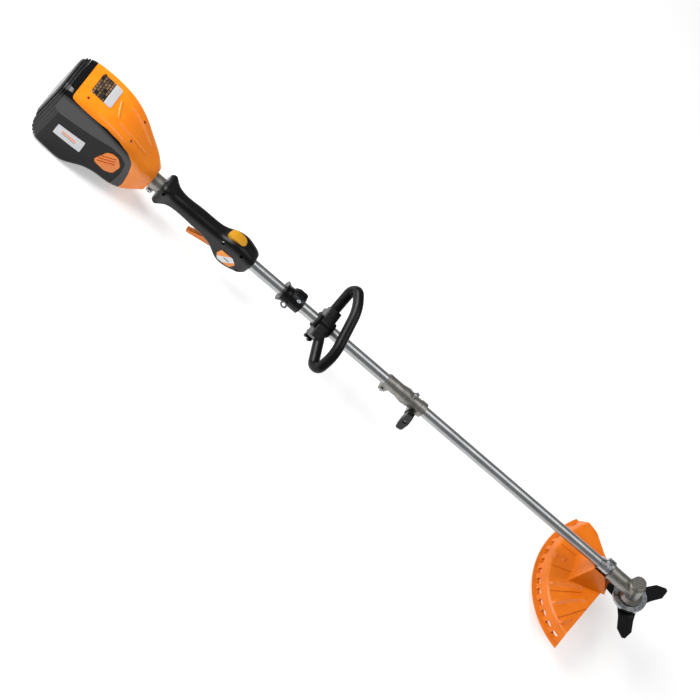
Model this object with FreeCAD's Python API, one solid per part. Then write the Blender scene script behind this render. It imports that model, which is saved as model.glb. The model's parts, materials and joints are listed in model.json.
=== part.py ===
import FreeCAD, Part
import os
from math import atan2, cos, degrees, pi, radians, sin, sqrt, tan

V = FreeCAD.Vector

# Battery brush cutter, in millimetres.
# Everything is first drawn in the shaft frame: X runs along the shaft towards the blade and is 0
# at the nose of the power head, Y is to the operator's left, Z is up.  lie_down() then tips the
# whole machine onto the floor, where it rests on the battery's base and the guard's rim.
# The origin is the centre of the battery's flat base.

# ---- driving dimensions -------------------------------------------------------------------
# Shaft tubes
TUBE_OD = 26.0                # outer diameter of both aluminium tubes
TUBE_WALL = 1.5               # wall of both tubes
UPPER_TUBE_END = 722.0        # front end of the upper tube, inside the coupling
LOWER_TUBE_GAP = 4.0          # gap between the two tubes inside the coupling
LOWER_TUBE_LENGTH = 686.0     # length of the lower tube
UPPER_TUBE_START = -24.0      # rear end of the upper tube, in the motor bracket
DRIVE_D = 7.0                 # steel drive shaft inside the tubes

# Stations along the shaft
GRIP_START = 26.0             # rear end of the trigger grip
HARNESS_X = 387.0             # centre of the harness collar
LOOP_X = 478.0                # centre of the loop handle's clamp
COUPLING_START = 665.0        # rear end of the split-shaft coupling
COUPLING_LENGTH = 111.0       # length of the coupling
SPINDLE_AHEAD = 51.0          # from the lower tube's front end to where the blade spindle crosses the shaft

# Power head
HEAD_LENGTH = 262.0           # nose face to the battery's rear
HEAD_WIDTH = 122.0            # widest part of the head
HEAD_WALL = 3.0               # wall of the head's plastic shells
BASE_X = -188.0               # centre of the battery's flat base
BASE_Z = -80.0                # depth of that base below the shaft
CORE_HALF = 36.0              # half width of the motor housing between the battery's arms

# Cutting head
SPINDLE_LEAN = 27.0           # lean of the spindle from square to the shaft, in degrees
BLADE_R = 105.0               # tip radius of the three-tooth blade
BLADE_T = 2.0                 # blade thickness
BLADE_BORE_R = 12.7           # bore of the blade, a one-inch arbor hole
BLADE_DEPTH = 38.0            # shaft axis down to the blade's upper face, along the spindle
BLADE_TURN = 40.0             # where the first tooth stands, from straight ahead
GUARD_R = 231.0               # outer radius of the guard's rim, about the spindle
GUARD_TOP = 18.0              # shaft axis down to the guard's top face, along the spindle
GUARD_DROP = 30.0             # height of the guard's skirt
GUARD_T = 3.0                 # wall of the guard
GUARD_RIGHT = -59.0           # end of the guard's rim on the right, degrees from straight back
GUARD_LEFT = 40.0             # end of the guard's rim on the left

# Bevel gears
PINION_TEETH = 15
GEAR_TEETH = 20
CONE_DISTANCE = 22.0          # apex to the large end of both bevel gears
GEAR_FACE = 7.0               # face width of both bevel gears

# Loop handle
LOOP_HALF = 95.0              # half width of the loop, to the middle of its bar
LOOP_RISE = 75.0              # height of the bar's middle above the shaft, in the loop's plane
LOOP_BAR_R = 12.0             # radius of the loop's bar
LOOP_ROLL = 25.0              # how far the loop is turned to the right about the shaft, in degrees
LOOP_LEAN = 27.0              # how far the loop leans forward, in degrees
LOOP_SKEW = 10.0              # how far its left side stands back from its right, in degrees

# Clearances
RUN = 0.05                    # radial running clearance of a turning part
SEAT = 0.05                   # radial clearance of a part clamped or seated in a bore
PART_GAP = 0.4                # gap between head, battery and button outlines
SLIDE_GAP = 0.35              # clearance of a sliding clamp on the tube

# ---- derived sizes ------------------------------------------------------------------------
TUBE_R = TUBE_OD / 2
TUBE_RI = TUBE_R - TUBE_WALL
DRIVE_R = DRIVE_D / 2
LOWER_TUBE_START = UPPER_TUBE_END + LOWER_TUBE_GAP
LOWER_TUBE_END = LOWER_TUBE_START + LOWER_TUBE_LENGTH
SPINDLE_X = LOWER_TUBE_END + SPINDLE_AHEAD
COUPLING_END = COUPLING_START + COUPLING_LENGTH
HALF = HEAD_WIDTH / 2
BIG = 400.0


# ---- shape helpers ------------------------------------------------------------------------
def box(x0, x1, y0, y1, z0, z1):
    """Block between two corners."""
    return Part.makeBox(x1 - x0, y1 - y0, z1 - z0, V(x0, y0, z0))


def rod_x(x0, x1, r, y=0.0, z=0.0):
    """Solid cylinder along X."""
    return Part.makeCylinder(r, x1 - x0, V(x0, y, z), V(1, 0, 0))


def rod_y(y0, y1, r, x, z):
    """Solid cylinder along Y."""
    return Part.makeCylinder(r, y1 - y0, V(x, y0, z), V(0, 1, 0))


def rod_z(z0, z1, r, x=0.0, y=0.0):
    """Solid cylinder along Z."""
    return Part.makeCylinder(r, z1 - z0, V(x, y, z0), V(0, 0, 1))


def pipe_x(x0, x1, ro, ri, y=0.0, z=0.0):
    """Straight pipe along X."""
    return rod_x(x0, x1, ro, y, z).cut(rod_x(x0 - 1, x1 + 1, ri, y, z))


def pipe_z(z0, z1, ro, ri, x=0.0, y=0.0):
    """Straight pipe along Z."""
    return rod_z(z0, z1, ro, x, y).cut(rod_z(z0 - 1, z1 + 1, ri, x, y))


def joined(shapes):
    """Fuse a list of shapes into one and merge their coplanar faces."""
    first = shapes[0]
    rest = list(shapes[1:])
    return first.fuse(rest).removeSplitter() if rest else first


def without(shape, tools):
    """Cut every tool out of a shape."""
    for tool in tools:
        shape = shape.cut(tool)
    return shape


def rounded_edges(points, radii, closed=True):
    """Straight edges joined by tangent arcs, one radius for each corner point."""
    count = len(points)
    cuts = []
    for i, corner in enumerate(points):
        radius = radii[i]
        if radius <= 0 or (not closed and i in (0, count - 1)):
            cuts.append((corner, None, corner))
            continue
        back = points[i - 1].sub(corner)
        ahead = points[(i + 1) % count].sub(corner)
        half = back.getAngle(ahead) / 2
        reach = radius / tan(half)
        start = corner.add(V(back).normalize().multiply(reach))
        end = corner.add(V(ahead).normalize().multiply(reach))
        inward = V(back).normalize().add(V(ahead).normalize()).normalize()
        middle = corner.add(inward.multiply(radius / sin(half) - radius))
        cuts.append((start, middle, end))
    edges = []
    for i, (start, middle, end) in enumerate(cuts):
        if middle is not None:
            edges.append(Part.Arc(start, middle, end).toShape())
        if closed or i < count - 1:
            after = cuts[(i + 1) % count][0]
            if after.sub(end).Length > 1e-6:
                edges.append(Part.makeLine(end, after))
    return edges


def plate_xz(outline, radii, y0, y1):
    """Plate with a rounded outline in X and Z, between two values of Y."""
    if not isinstance(radii, (list, tuple)):
        radii = [radii] * len(outline)
    corners = [V(x, y0, z) for x, z in outline]
    face = Part.Face(Part.Wire(rounded_edges(corners, radii)))
    return face.extrude(V(0, y1 - y0, 0))


def plate_xy(outline, radii, z0, z1):
    """Plate with a rounded outline in X and Y, between two values of Z."""
    if not isinstance(radii, (list, tuple)):
        radii = [radii] * len(outline)
    corners = [V(x, y, z0) for x, y in outline]
    face = Part.Face(Part.Wire(rounded_edges(corners, radii)))
    return face.extrude(V(0, 0, z1 - z0))


def section_wire(x, z_low, z_high, half_width, corner):
    """Rounded rectangle square to the shaft, always eight edges in the same order."""
    corners = [
        V(x, -half_width, z_low),
        V(x, half_width, z_low),
        V(x, half_width, z_high),
        V(x, -half_width, z_high),
    ]
    return Part.Wire(rounded_edges(corners, [corner] * 4))


def lofted(sections, grow=0.0):
    """Smooth body through rounded rectangles, grown or shrunk all round by grow."""
    wires = []
    last = len(sections) - 1
    for i, (x, z_low, z_high, half_width, corner) in enumerate(sections):
        shift = -grow if i == 0 else (grow if i == last else 0.0)
        radius = max(corner + grow, 2.0)
        wires.append(section_wire(x + shift, z_low - grow, z_high + grow, half_width + grow, radius))
    return Part.makeLoft(wires, True, False)


def screw_y(x, z, head_y, tip_y, r=2.0, head_r=3.6, head_h=3.0):
    """Pan-head screw along Y with a hexagon socket; head_y is under its head."""
    out = 1 if head_y > tip_y else -1
    low, high = sorted((head_y, head_y + out * head_h))
    head = rod_y(low, high, head_r, x, z)
    shank = rod_y(min(head_y, tip_y), max(head_y, tip_y), r, x, z)
    corners = [V(x + head_r * 0.5 * cos(k * pi / 3), 0, z + head_r * 0.5 * sin(k * pi / 3)) for k in range(6)]
    hexagon = Part.Face(Part.makePolygon(corners + [corners[0]]))
    socket = hexagon.extrude(V(0, out * head_h, 0))
    socket.translate(V(0, head_y + out * head_h * 0.4, 0))
    return head.fuse(shank).cut(socket).removeSplitter()


def to_spindle(shape):
    """Place a shape drawn about its own +Z onto the leaning blade spindle."""
    placed = shape.copy()
    placed.rotate(V(0, 0, 0), V(0, 1, 0), -SPINDLE_LEAN)
    placed.translate(V(SPINDLE_X, 0, 0))
    return placed


# ---- how the machine lies -----------------------------------------------------------------
def rim_height(tilt):
    """Height of the guard's lowest rim point over the battery's base when the nose is up by tilt."""
    lean = radians(SPINDLE_LEAN) + tilt
    rim = SPINDLE_X * sin(tilt) - (GUARD_TOP + GUARD_DROP) * cos(lean) - GUARD_R * sin(lean)
    base = BASE_X * sin(tilt) + BASE_Z * cos(tilt)
    return rim - base


def lying_tilt():
    """Tilt at which base and rim stand on one floor, found by halving an interval."""
    low, high = 0.0, radians(20.0)
    for _ in range(60):
        middle = (low + high) / 2
        if rim_height(middle) < 0:
            low = middle
        else:
            high = middle
    return (low + high) / 2


TILT = lying_tilt()


def lie_down(shape):
    """Move a shape from the shaft frame to the lying machine's frame."""
    placed = shape.copy()
    placed.translate(V(-BASE_X, 0, -BASE_Z))
    placed.rotate(V(0, 0, 0), V(0, 1, 0), -degrees(TILT))
    return placed


def floor_cutter():
    """Block under the floor, in the shaft frame."""
    block = box(-BIG, BIG, -BIG, BIG, -BIG, 0)
    block.rotate(V(0, 0, 0), V(0, 1, 0), degrees(TILT))
    block.translate(V(BASE_X, 0, BASE_Z))
    return block


parts = {}

# ---- power head ---------------------------------------------------------------------------
# Rounded sections from the battery's rear to the nose: x, lowest z, highest z, half width, corner.
REAR = -HEAD_LENGTH
HEAD_SECTIONS = [
    (REAR, -26, 92, HALF - 13, 22),
    (REAR + 10, -58, 102, HALF - 4, 22),
    (REAR + 30, BASE_Z - 2, 107, HALF - 1, 20),
    (REAR + 62, BASE_Z - 5, 108, HALF, 18),
    (REAR + 100, BASE_Z - 4, 106, HALF, 18),
    (-125, -58, 99, HALF - 2, 18),
    (-90, -52, 85, HALF - 7, 18),
    (-62, -58, 69, HALF - 14, 18),
    (-40, -55, 55, HALF - 19, 18),
    (-18, -43, 42, HALF - 26, 20),
    (0, -30, 29, 28, 24),
]
head_outer = lofted(HEAD_SECTIONS).cut(floor_cutter())
head_inner = lofted(HEAD_SECTIONS, -HEAD_WALL)
head_skin = lofted(HEAD_SECTIONS, 0.8).cut(lofted(HEAD_SECTIONS))
slot_floor = lofted(HEAD_SECTIONS, -1.0)

COVER_REAR = REAR + 30        # rear edge of the orange cover on the top
COVER_EDGE = [(-141, 97), (-109, 88), (-78, 71.5), (-57, 51), (-46, 14), (-39, -24)]
cover_outline = [(COVER_REAR, 160), (COVER_REAR, 100)] + COVER_EDGE + [(-42, -80), (30, -80), (30, 160)]
cover_radii = [0, 6, 40, 40, 40, 30, 40, 30, 0, 0, 0]
cover_region = plate_xz(cover_outline, cover_radii, -BIG, BIG)
room_start = [(COVER_REAR - 0.2, 160), (COVER_REAR - 0.2, 99.8)]
cover_room = plate_xz(room_start + COVER_EDGE + [(-42.4, -80), (30, -80), (30, 160)], cover_radii, -BIG, BIG)

ARM_REAR = -126.0             # where the battery's block ends and its two arms begin


def battery_outline(shift):
    """Outline of everything the battery takes from the head, seen from the side, grown by shift."""
    top = [(REAR + 14, 150), (REAR + 18, 48), (-228, 42), (-144, 57), (-112, 63), (-84, 56),
           (-66, 38), (-58, 0)]
    moved = [(x + shift, z + shift) for x, z in top]
    return [(-300, -160), (-300, 150)] + moved + [(-60 + shift, -160)]


battery_radii = [0, 0, 0, 8, 20, 60, 20, 18, 14, 30, 0]
battery_region = plate_xz(battery_outline(0.0), battery_radii, -BIG, BIG)
core = box(ARM_REAR, 50, -CORE_HALF, CORE_HALF, -BIG, BIG)
battery_shape = head_outer.common(battery_region).cut(core)

# The head keeps PART_GAP clear of the battery; the gap is taken from the head's side.
battery_room = plate_xz(battery_outline(PART_GAP), battery_radii, -BIG, BIG)
core_in_head = box(ARM_REAR + PART_GAP, 50, -CORE_HALF + PART_GAP, CORE_HALF - PART_GAP, -BIG, BIG)
battery_room = battery_room.cut(core_in_head)

# Cavity of the head's shells: inside the skin, and a wall away from the battery.
wall_room = plate_xz(battery_outline(HEAD_WALL), battery_radii, -BIG, BIG)
wall_core = box(ARM_REAR + HEAD_WALL, 50, -CORE_HALF + HEAD_WALL, CORE_HALF - HEAD_WALL, -BIG, BIG)
wall_room = wall_room.cut(wall_core)
head_cavity = head_inner.cut(wall_room)

COLLAR_R = 18.0               # cast collar that leaves the nose
collar_hole = rod_x(-10, 10, COLLAR_R + PART_GAP)
head_cover = head_outer.common(cover_region).cut(head_inner).cut(battery_region)
shell = without(head_outer, [cover_room, battery_room, head_cavity, collar_hole])


SCREW_R = 1.8                 # shank of the head's self-tapping screws
SCREW_HEAD_R = 3.2
COVER_SCREWS = [(-206.0, -36.0), (-206.0, 36.0), (-88.0, -30.0), (-88.0, 30.0)]


def cover_screw(x, y, top):
    """Countersunk screw that holds the cover, standing along Z with its head at top."""
    head = Part.makeCone(SCREW_R, SCREW_HEAD_R, 2.4, V(x, y, top - 2.4))
    shank = rod_z(top - 14.0, top - 2.4, SCREW_R, x, y)
    socket = rod_z(top - 1.2, top + 1, 1.4, x, y)
    return head.fuse(shank).cut(socket).removeSplitter()


def cover_height(x):
    """Height of the cover's top surface over the shaft at x, at the screws' places."""
    return 106.5 if x < -150 else 84.0


head_screws = []
screw_wells = []
screw_posts = []
for sx, sy in COVER_SCREWS:
    head_top = cover_height(sx) - 4.0
    head_screws.append(cover_screw(sx, sy, head_top))
    screw_wells.append(rod_z(head_top - 2.4, head_top + 12, SCREW_HEAD_R + 0.3, sx, sy))
    screw_wells.append(rod_z(head_top - 15, head_top, SCREW_R + 0.1, sx, sy))
    screw_posts.append(rod_z(head_top - 22, head_top + 12, 5.4, sx, sy))
cover_posts = [post.common(slot_floor).common(cover_region) for post in screw_posts]
head_cover = joined([head_cover] + cover_posts)
head_cover = without(head_cover, [collar_hole, battery_room] + screw_wells)

shell_halves = {}
for side, y0, y1 in (("left", 0, BIG), ("right", -BIG, 0)):
    shell_halves[side] = shell.common(box(-BIG, BIG, y0, y1, -BIG, BIG))

# Generic two-tone plate on the cover, without any lettering.
PLATE_CENTRE = (-186.0, 8.0)
PLATE_SIZE = (50.0, 56.0)
px, py = PLATE_CENTRE
pl, pw = PLATE_SIZE[0] / 2, PLATE_SIZE[1] / 2
plate_prism = plate_xy([(px - pl, py - pw), (px + pl, py - pw), (px + pl, py + pw), (px - pl, py + pw)],
                       5.0, 60, BIG)
cover_plate = head_skin.common(plate_prism)

# ---- motor, on the shaft axis in the nose -------------------------------------------------
MOTOR_R = 30.0
MOTOR_FRONT = -46.0
MOTOR_REAR = -108.0
BEARING_R = 11.0
BEARING_W = 7.0
ROTOR_R = 17.0
MOTOR_SHAFT_R = 4.0
FLANGE_T = 5.0                # motor bracket's plate

# Cast bracket: the motor bolts to its plate, the tube is clamped in its collar.
bracket_plate = rod_x(MOTOR_FRONT, MOTOR_FRONT + FLANGE_T, MOTOR_R - 0.5)
bracket_hub = rod_x(MOTOR_FRONT, UPPER_TUBE_START, COLLAR_R)
bracket_collar = rod_x(UPPER_TUBE_START, GRIP_START - 2.0, COLLAR_R)
LUG_Z = -24.0                 # height of the clamp screw under the collar
lug = box(6.0, 20.0, -9.0, 9.0, LUG_Z - 6.0, -12.0)
motor_bracket = joined([bracket_plate, bracket_hub, bracket_collar, lug])
motor_bracket = without(motor_bracket, [
    rod_x(UPPER_TUBE_START, GRIP_START + 5, TUBE_R + SEAT),
    rod_x(MOTOR_FRONT - 1, MOTOR_FRONT + BEARING_W + 0.5, BEARING_R + SEAT),
    rod_x(MOTOR_FRONT - 1, UPPER_TUBE_START + 1, MOTOR_SHAFT_R + 3.0),
    box(2.0, GRIP_START, -1.2, 1.2, -BIG, 0),
    rod_y(-30, 30, 2.6, 13.0, LUG_Z),
])

STATOR_REAR = MOTOR_REAR - 10.0
motor_can = rod_x(STATOR_REAR, MOTOR_FRONT, MOTOR_R)
motor_can = motor_can.cut(rod_x(MOTOR_REAR, MOTOR_FRONT + 1, MOTOR_R - 2.0))
motor_can = motor_can.cut(rod_x(STATOR_REAR - 1, MOTOR_REAR - BEARING_W, MOTOR_SHAFT_R + 2.0))
motor_can = motor_can.cut(rod_x(MOTOR_REAR - BEARING_W, MOTOR_REAR + 1, BEARING_R + SEAT))
for k in range(8):
    slot = box(MOTOR_REAR + 8, MOTOR_FRONT - 10, -4.0, 4.0, MOTOR_R - 6, MOTOR_R + 4)
    slot.rotate(V(0, 0, 0), V(1, 0, 0), k * 45.0)
    motor_can = motor_can.cut(slot)
stator_ring = pipe_x(MOTOR_REAR + 12, MOTOR_FRONT - 14, MOTOR_R - 2.0 - SEAT, MOTOR_R - 6.0)
poles = []
POLES = 9
for k in range(POLES):
    pole = box(MOTOR_REAR + 14, MOTOR_FRONT - 16, -3.6, 3.6, ROTOR_R + 1.2, MOTOR_R - 5.0)
    pole.rotate(V(0, 0, 0), V(1, 0, 0), k * 360.0 / POLES)
    poles.append(pole)
motor_stator = joined([stator_ring] + poles).cut(rod_x(MOTOR_REAR, MOTOR_FRONT, ROTOR_R + 1.0))


def bearing_x(x0, outer, inner, width):
    """Shielded ball bearing along X, drawn as one ring with grooved faces."""
    ring = pipe_x(x0, x0 + width, outer, inner)
    middle = (outer + inner) / 2
    groove = pipe_x(x0 - 1, x0 + 0.6, middle + 1.3, middle - 1.3)
    other = pipe_x(x0 + width - 0.6, x0 + width + 1, middle + 1.3, middle - 1.3)
    return ring.cut(groove).cut(other)


def bearing_z(z0, outer, inner, width):
    """The same bearing along Z."""
    ring = pipe_z(z0, z0 + width, outer, inner)
    middle = (outer + inner) / 2
    groove = pipe_z(z0 - 1, z0 + 0.6, middle + 1.3, middle - 1.3)
    other = pipe_z(z0 + width - 0.6, z0 + width + 1, middle + 1.3, middle - 1.3)
    return ring.cut(groove).cut(other)


motor_bearings = [
    bearing_x(MOTOR_REAR - BEARING_W, BEARING_R, MOTOR_SHAFT_R + RUN, BEARING_W),
    bearing_x(MOTOR_FRONT, BEARING_R, MOTOR_SHAFT_R + RUN, BEARING_W),
]

ROTOR_END = -30.0             # where the rotor's shaft takes the drive shaft
rotor_body = rod_x(MOTOR_REAR + 12, MOTOR_FRONT - 14, ROTOR_R)
rotor_shaft = rod_x(STATOR_REAR - 4.0, ROTOR_END, MOTOR_SHAFT_R)
motor_rotor = joined([rotor_body, rotor_shaft])
FAN_X = MOTOR_REAR + 1.5
fan_hub = rod_x(FAN_X, FAN_X + 8, 8.0)
fan_disc = rod_x(FAN_X, FAN_X + 1.5, 24.0)
blades = []
for k in range(11):
    vane = box(FAN_X + 1.4, FAN_X + 7.0, -0.8, 0.8, 7.0, 24.0)
    vane.rotate(V(FAN_X, 0, 15.0), V(1, 0, 0), 25.0)
    vane.rotate(V(0, 0, 0), V(1, 0, 0), k * 360.0 / 11)
    blades.append(vane)
motor_fan = joined([fan_hub, fan_disc] + blades)
motor_fan = motor_fan.common(rod_x(FAN_X, FAN_X + 8, 25.0)).cut(rod_x(FAN_X - 1, FAN_X + 9, MOTOR_SHAFT_R))

# Control board over the battery, on the shell's floor, with its capacitors and heat sink.
BOARD_Z = 72.0
board = box(-212, -138, -38, 38, BOARD_Z, BOARD_Z + 1.6)
sink = box(-180, -146, -30, 30, BOARD_Z + 1.6, BOARD_Z + 10)
for k in range(5):
    sink = sink.cut(box(-181, -145, -26 + k * 11, -21 + k * 11, BOARD_Z + 4, BOARD_Z + 11))
capacitors = [rod_z(BOARD_Z + 1.6, BOARD_Z + 17, 6.0, -200, y) for y in (-22, -2, 18)]
control_board = joined([board, sink] + capacitors)
post_limit = plate_xz(battery_outline(HEAD_WALL / 2), battery_radii, -BIG, BIG)
board_posts = [rod_z(38, BOARD_Z, 3.0, x, y) for x in (-208, -142) for y in (-34, 34)]
for side, sign in (("left", 1), ("right", -1)):
    posts = [p for p in board_posts if p.CenterOfMass.y * sign > 0]
    posts = [p.cut(post_limit) for p in posts]
    shell_halves[side] = joined([shell_halves[side]] + posts)
# Blade terminals that reach the battery through slots in the motor housing's rear wall.
SOCKET_FACE = ARM_REAR + PART_GAP
SOCKET_BACK = ARM_REAR + HEAD_WALL + 0.1
TERMINAL_Y = (-16, -5, 5, 16)
socket_block = box(SOCKET_BACK, SOCKET_BACK + 5.0, -24, 24, 30, 54)
terminals = [box(SOCKET_FACE, SOCKET_BACK + 1, y - 1.5, y + 1.5, 33, 47) for y in TERMINAL_Y]
battery_socket = joined([socket_block] + terminals)
terminal_slots = [box(ARM_REAR, SOCKET_BACK, y - 1.6, y + 1.6, 32.9, 47.1) for y in TERMINAL_Y]
for side in shell_halves:
    shell_halves[side] = without(shell_halves[side], terminal_slots)

# ---- battery ------------------------------------------------------------------------------
BACK_X = REAR + 32            # joint between the battery's case and its ribbed back
CELL_R = 9.2
CELL_PITCH = 19.4
battery_case_block = battery_shape.common(box(BACK_X, 50, -BIG, BIG, -BIG, BIG))
battery_back_block = battery_shape.common(box(-BIG, BACK_X, -BIG, BIG, -BIG, BIG))
BATTERY_WALL = 3.0
hollow_region = plate_xz(battery_outline(-BATTERY_WALL), battery_radii, -BIG, BIG)
above_base = floor_cutter()
above_base.translate(V(0, 0, BATTERY_WALL))
battery_hollow = head_inner.common(hollow_region).cut(above_base)
battery_hollow = battery_hollow.common(box(-BIG, ARM_REAR - 6.0, -BIG, BIG, -BIG, BIG))
battery_case = battery_case_block.cut(battery_hollow)
back_room = lofted(HEAD_SECTIONS, -HEAD_WALL - 4).common(box(REAR + 12, BACK_X + 1, -BIG, BIG, -BIG, 28))
back_room = back_room.cut(above_base)
battery_back = battery_back_block.cut(back_room)
RIBS = 5
RIB_STEP = 5.6
rib_inside = lofted(HEAD_SECTIONS, -2.6)
for k in range(RIBS):
    x = REAR + 4.0 + k * RIB_STEP
    groove = box(x, x + 2.4, -BIG, BIG, -BIG, BIG).cut(rib_inside)
    battery_back = battery_back.cut(groove)
battery_cells = []
for row in range(5):
    for column in range(4):
        z = -55.5 + row * CELL_PITCH * 0.97
        x = BACK_X + 12.0 + column * CELL_PITCH
        battery_cells.append(rod_y(-46, 46, CELL_R, x, z))
CONTACT_LENGTH = 5.0
contact_back = ARM_REAR - CONTACT_LENGTH
battery_contacts = [box(contact_back, ARM_REAR - 0.05, y - 1.5, y + 1.5, 33, 47) for y in TERMINAL_Y]
contact_slots = [box(contact_back - 0.1, ARM_REAR + 1, y - 1.6, y + 1.6, 32.9, 47.1) for y in TERMINAL_Y]
battery_case = without(battery_case, contact_slots)

# Release buttons, one on each arm of the battery.
BUTTON_OUTLINE = [(-119, -3), (-106, 50), (-84, 46), (-68, 22), (-70, -8), (-86, -14)]
BUTTON_RADII = [12, 14, 14, 12, 9, 12]
BUTTON_INNER = 42.0           # inner face of a button from the middle plane
BUTTON_TRAVEL = 2.5
BUTTON_PROUD = 1.2


def button_outline(grow):
    """The button's outline grown by a clearance about its middle."""
    middle_x = sum(x for x, _ in BUTTON_OUTLINE) / len(BUTTON_OUTLINE)
    middle_z = sum(z for _, z in BUTTON_OUTLINE) / len(BUTTON_OUTLINE)
    grown = []
    for x, z in BUTTON_OUTLINE:
        reach = sqrt((x - middle_x) ** 2 + (z - middle_z) ** 2)
        scale = 1 + grow / reach
        grown.append((middle_x + (x - middle_x) * scale, middle_z + (z - middle_z) * scale))
    return grown


head_proud = lofted(HEAD_SECTIONS, BUTTON_PROUD)
buttons = {}
for side, sign in (("left", 1), ("right", -1)):
    y0, y1 = sorted((sign * BUTTON_INNER, sign * 80.0))
    button = plate_xz(button_outline(0.0), BUTTON_RADII, y0, y1).common(head_proud)
    for k in range(3):
        slot = box(-108 + k * 9.0, -105 + k * 9.0, -90, 90, -2.0, 38.0 - k * 2)
        slot.rotate(V(-95, 0, 20), V(0, 1, 0), 62.0)
        slot = slot.cut(slot_floor)
        button = button.cut(slot)
    buttons[side] = button
    y0, y1 = sorted((sign * (BUTTON_INNER - BUTTON_TRAVEL - 0.8), sign * 80.0))
    pocket = plate_xz(button_outline(0.8), BUTTON_RADII, y0, y1)
    battery_case = battery_case.cut(pocket)

# Blank pale badges on the battery's sides.
badge_outline = [(-212, -16), (-147, -12), (-151, 24), (-214, 16)]
badge_prism = plate_xz(badge_outline, 2.0, -BIG, BIG)
battery_badges = [head_skin.common(badge_prism).common(box(-BIG, BIG, y0, y1, -BIG, BIG))
                  for y0, y1 in ((0, BIG), (-BIG, 0))]

parts["head_cover"] = head_cover
parts["housing_left"] = shell_halves["left"]
parts["housing_right"] = shell_halves["right"]
parts["cover_plate"] = cover_plate
parts["head_screws"] = Part.makeCompound(head_screws)
parts["motor_bracket"] = motor_bracket
parts["motor_can"] = motor_can
parts["motor_stator"] = motor_stator
parts["motor_bearings"] = Part.makeCompound(motor_bearings)
parts["motor_rotor"] = motor_rotor
parts["motor_fan"] = motor_fan
parts["control_board"] = control_board
parts["battery_socket"] = battery_socket
parts["battery_case"] = battery_case
parts["battery_back"] = battery_back
parts["battery_cells"] = Part.makeCompound(battery_cells)
parts["battery_contacts"] = Part.makeCompound(battery_contacts)
parts["battery_badges"] = Part.makeCompound(battery_badges)
parts["release_button_left"] = buttons["left"]
parts["release_button_right"] = buttons["right"]

# ---- trigger grip -------------------------------------------------------------------------
# Rounded sections from the rear flange to the front bulb: x, lowest z, highest z, half width, corner.
G = GRIP_START
GRIP_SECTIONS = [
    (G, -26, 28, 26, 13),
    (G + 16, -27, 29, 27, 13),
    (G + 28, -21, 23, 22, 14),
    (G + 42, -19, 20, 19.5, 15),
    (G + 90, -19, 20, 19.5, 15),
    (G + 130, -22, 21, 19.5, 15),
    (G + 158, -30, 24, 21, 14),
    (G + 178, -41, 33, 25, 15),
    (G + 206, -44, 38, 27, 17),
    (G + 232, -36, 31, 25, 17),
    (G + 246, -23, 23, 21, 16),
]
grip_body = lofted(GRIP_SECTIONS)
tube_hole = rod_x(-50, 400, TUBE_R + SEAT)
TRIGGER_HALF = 5.5            # half width of the trigger
TRIGGER_PIVOT = (190.0, -31.0)
trigger_outline = [(186, -22), (197, -26), (196, -35), (185, -41), (131, -56), (126, -50), (150, -38),
                   (172, -26)]
trigger_radii = [3, 4, 4, 10, 2.2, 2, 18, 6]
trigger = plate_xz(trigger_outline, trigger_radii, -TRIGGER_HALF, TRIGGER_HALF)
TRIGGER_PIN_R = 2.0
trigger = trigger.cut(rod_y(-20, 20, TRIGGER_PIN_R + RUN, TRIGGER_PIVOT[0], TRIGGER_PIVOT[1]))
trigger_room = plate_xz([(122, -70), (122, -33), (150, -22), (170, -16), (199, -16), (200, -37), (189, -46),
                         (180, -70)], [0, 4, 10, 3, 3, 4, 4, 0], -TRIGGER_HALF - 0.6, TRIGGER_HALF + 0.6)
trigger_pin = rod_y(-15, 15, TRIGGER_PIN_R, TRIGGER_PIVOT[0], TRIGGER_PIVOT[1])
pin_hole = rod_y(-15.2, 15.2, TRIGGER_PIN_R + SEAT, TRIGGER_PIVOT[0], TRIGGER_PIVOT[1])
trigger_switch = box(174.0, 186.0, -5.0, 5.0, -20.5, -16.2)

LOCK_X = 212.0                # middle of the lock-off button on top of the bulb
LOCK_LENGTH = 42.0
LOCK_WIDTH = 24.0
LOCK_TRAVEL = 3.0


def oval(length, width, z0, z1, x):
    """Upright prism with a rounded oval outline."""
    a, b = length / 2, width / 2
    outline = [(x - a, -b), (x + a, -b), (x + a, b), (x - a, b)]
    return plate_xy(outline, b * 0.96, z0, z1)


lock_dome = Part.makeSphere(60.0, V(LOCK_X, 0, 41.5 - 60.0))
lock_off_button = oval(LOCK_LENGTH, LOCK_WIDTH, 24.0, 50.0, LOCK_X).common(lock_dome)
lock_pocket = oval(LOCK_LENGTH + 0.8, LOCK_WIDTH + 0.8, 24.0 - LOCK_TRAVEL - 1.0, 60.0, LOCK_X)

GRIP_SCREW_PLACES = [(G + 9, 20.0), (G + 9, -20.0), (G + 168, 17.5), (G + 214, 26.0), (G + 232, -22.0)]
GRIP_SCREW_FACE = 17.0        # seat of the grip screws' heads from the middle plane
grip_screws = []
grip_cuts = [tube_hole, trigger_room, lock_pocket, pin_hole]
for sx, sz in GRIP_SCREW_PLACES:
    grip_screws.append(screw_y(sx, sz, -GRIP_SCREW_FACE, 10.0))
    grip_cuts.append(rod_y(-GRIP_SCREW_FACE, 12.0, 2.1, sx, sz))
    grip_cuts.append(rod_y(-60, -GRIP_SCREW_FACE, 3.9, sx, sz))
grip_cuts.append(box(G - 5, G + 0.2, -3, 3, -60, 60))
grip_body = without(grip_body, grip_cuts)
grip_right = grip_body.common(box(-50, 400, -60, 0, -80, 80))
grip_left = grip_body.common(box(-50, 400, 0, 60, -80, 80))

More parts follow.
